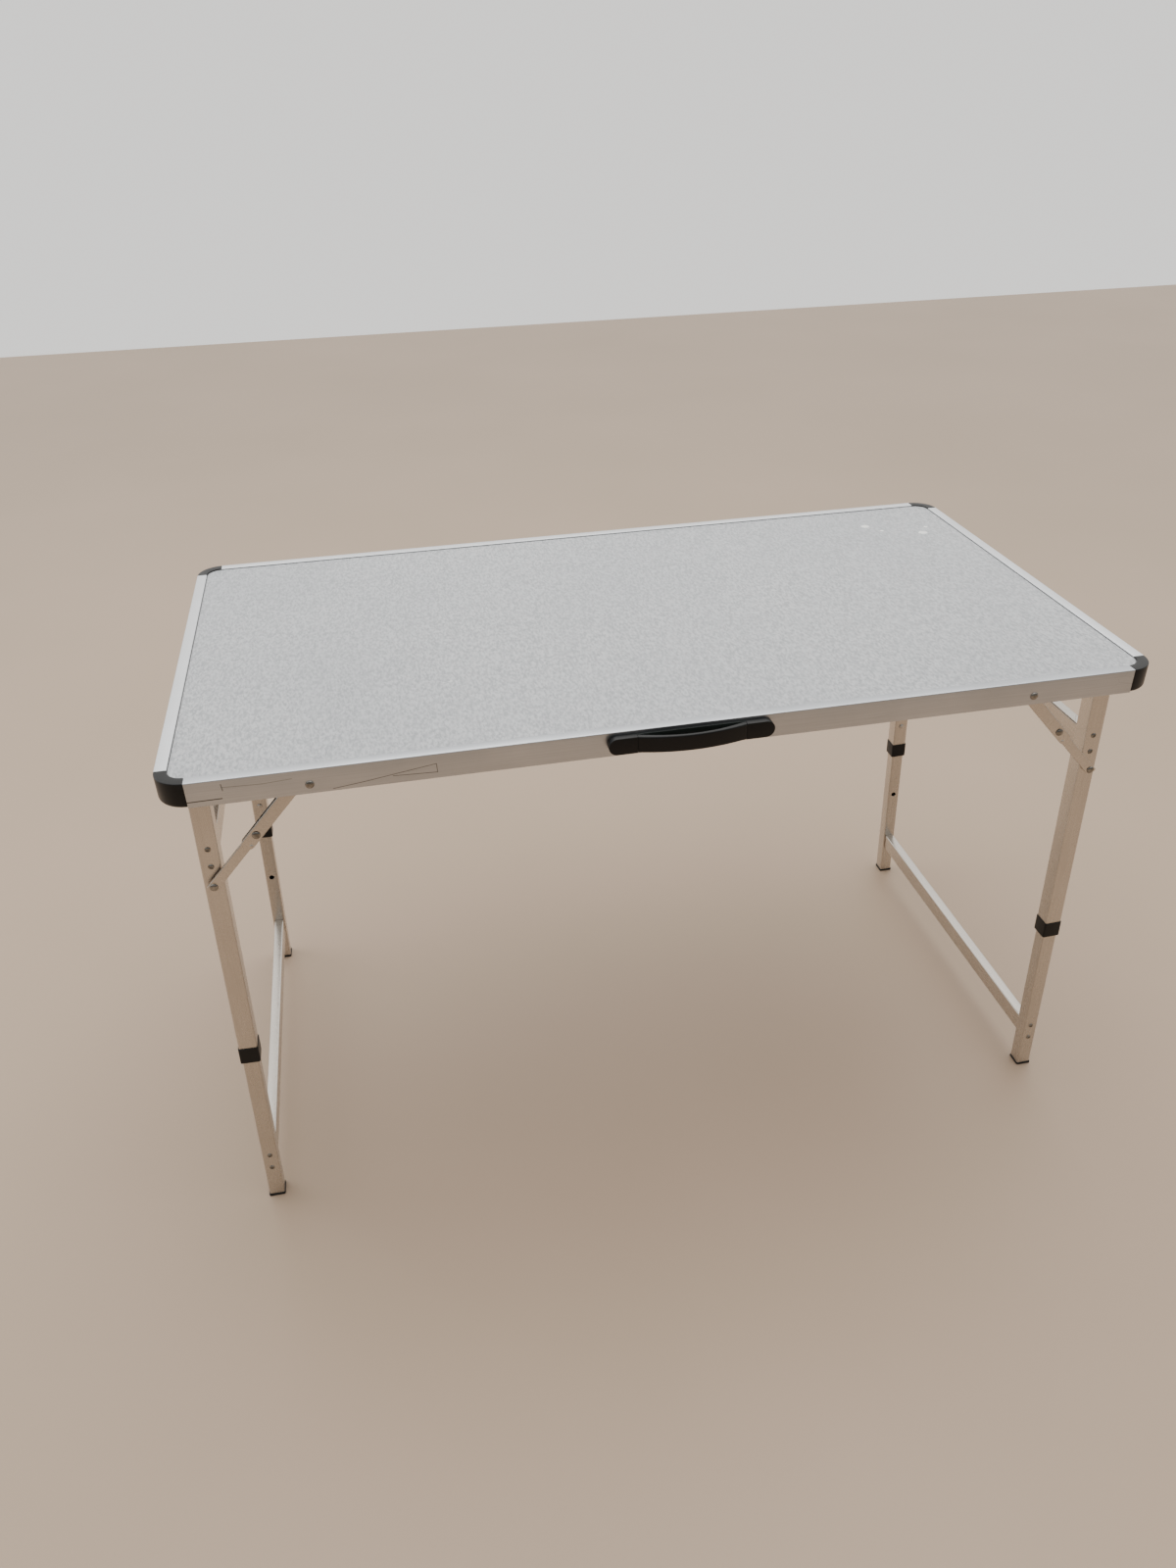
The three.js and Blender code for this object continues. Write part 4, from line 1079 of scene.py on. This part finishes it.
def make_stays():
    for end, side in ENDS:
        for face, depth_side in SIDES:
            key = f"{face}_{end}"
            anchor = Vector(JOINTS[f"stay_top_{key}"]["pos_m"])
            elbow = Vector(JOINTS[f"stay_elbow_{key}"]["pos_m"])
            along = elbow - anchor
            length = along.length
            along.normalize()
            up = Vector((-along.z, 0, along.x)) * side
            matrix = frame_at((anchor.x, 0, anchor.z), along, up)
            elbow_matrix = frame_at((elbow.x, 0, elbow.z), along, up)
            foot = lower_length(elbow, along, JOINTS[f"{end}_fold"]["pos_m"], end)
            middle = anchor.y
            upper_faces = (middle - UPPER_FACES, middle + UPPER_FACES)
            lower_faces = (middle - LOWER_FACES, middle + LOWER_FACES)
            piece = upper_link(f"stay_upper_{key}_bar", length, length - foot, upper_faces, depth_side)
            fit(piece, f"stay_upper_link_{key}", "leg_aluminium", LINK_ALUMINIUM,
                f"stay_upper_link_{key}", matrix=matrix)
            piece = lower_link(f"stay_lower_{key}_channel", foot, lower_faces)
            fit(piece, f"stay_lower_link_{key}", "leg_aluminium", LINK_ALUMINIUM,
                f"stay_lower_link_{key}", matrix=elbow_matrix)
            for label, x, reach in (("elbow", 0, UPPER_FACES + GAP), ("leg", foot, LOWER_FACES)):
                place = (x, middle + depth_side * reach, 0)
                pin = rivet(f"stay_{label}_rivet_{key}", place, depth_side, STAY_HEAD_HEIGHT,
                    UPPER_FACES + reach)
                fit(pin, f"stay_lower_link_{key}", "plated_steel", RIVET_STEEL, matrix=elbow_matrix)
            make_stay_pin(key, anchor, depth_side)


def lower_length(elbow, along, leg, end):
    """Distance from the elbow to where the straight stay crosses the leg's centreline."""
    up = Vector(JOINTS[f"{end}_height"]["axis"])
    normal = Vector((0, 1, 0)).cross(up)
    return (Vector((leg[0], elbow.y, leg[2])) - elbow).dot(normal) / along.dot(normal)


def make_stay_pin(key, anchor, depth_side):
    """Domed head outside the rail, a thick shoulder behind it, and a neck for the link."""
    face = BACK_Y if depth_side > 0 else FRONT_Y
    neck_end = -abs(face - anchor.y) - UPPER_FACES
    shoulder_end = -abs(face - anchor.y) + UPPER_FACES + GAP
    shoulder_start = -RAIL_WALL - GAP
    chamfer = 0.3 * MM
    profile = [
        (0, neck_end), (PIN_RADIUS - 0.2 * MM, neck_end), (PIN_RADIUS, neck_end + chamfer),
        (PIN_RADIUS, shoulder_end), (PIN_HEAD - chamfer, shoulder_end),
        (PIN_HEAD, shoulder_end + chamfer), (PIN_HEAD, shoulder_start - chamfer),
        (PIN_HEAD - chamfer, shoulder_start), (PIN_RADIUS, shoulder_start), (PIN_RADIUS, 0),
        (PIN_HEAD - 0.2 * MM, 0),
    ]
    profile += dome(PIN_HEAD, RAIL_HEAD_HEIGHT, HEAD_RIM)
    place = (anchor.x, face, anchor.z)
    piece = soften(turned(f"stay_pin_{key}_turned", profile, place, depth_side), 0)
    fit(piece, "tabletop", "plated_steel", RIVET_STEEL, f"stay_pin_{key}")


# ---------------------------------------------------------------- floor

FLOOR_HALF = 6


def make_floor():
    bm = bmesh.new()
    quarters = ((-1, -1), (1, -1), (1, 1), (-1, 1))
    bm.faces.new([bm.verts.new((x * FLOOR_HALF, y * FLOOR_HALF, 0)) for x, y in quarters])
    floor = object_from("floor", bm)
    floor.data.materials.append(floor_material())


make_camera()
light_room()
make_floor()
make_panel()
make_rails()
make_caps()
make_handle()
make_legs()
make_brackets()
make_stays()
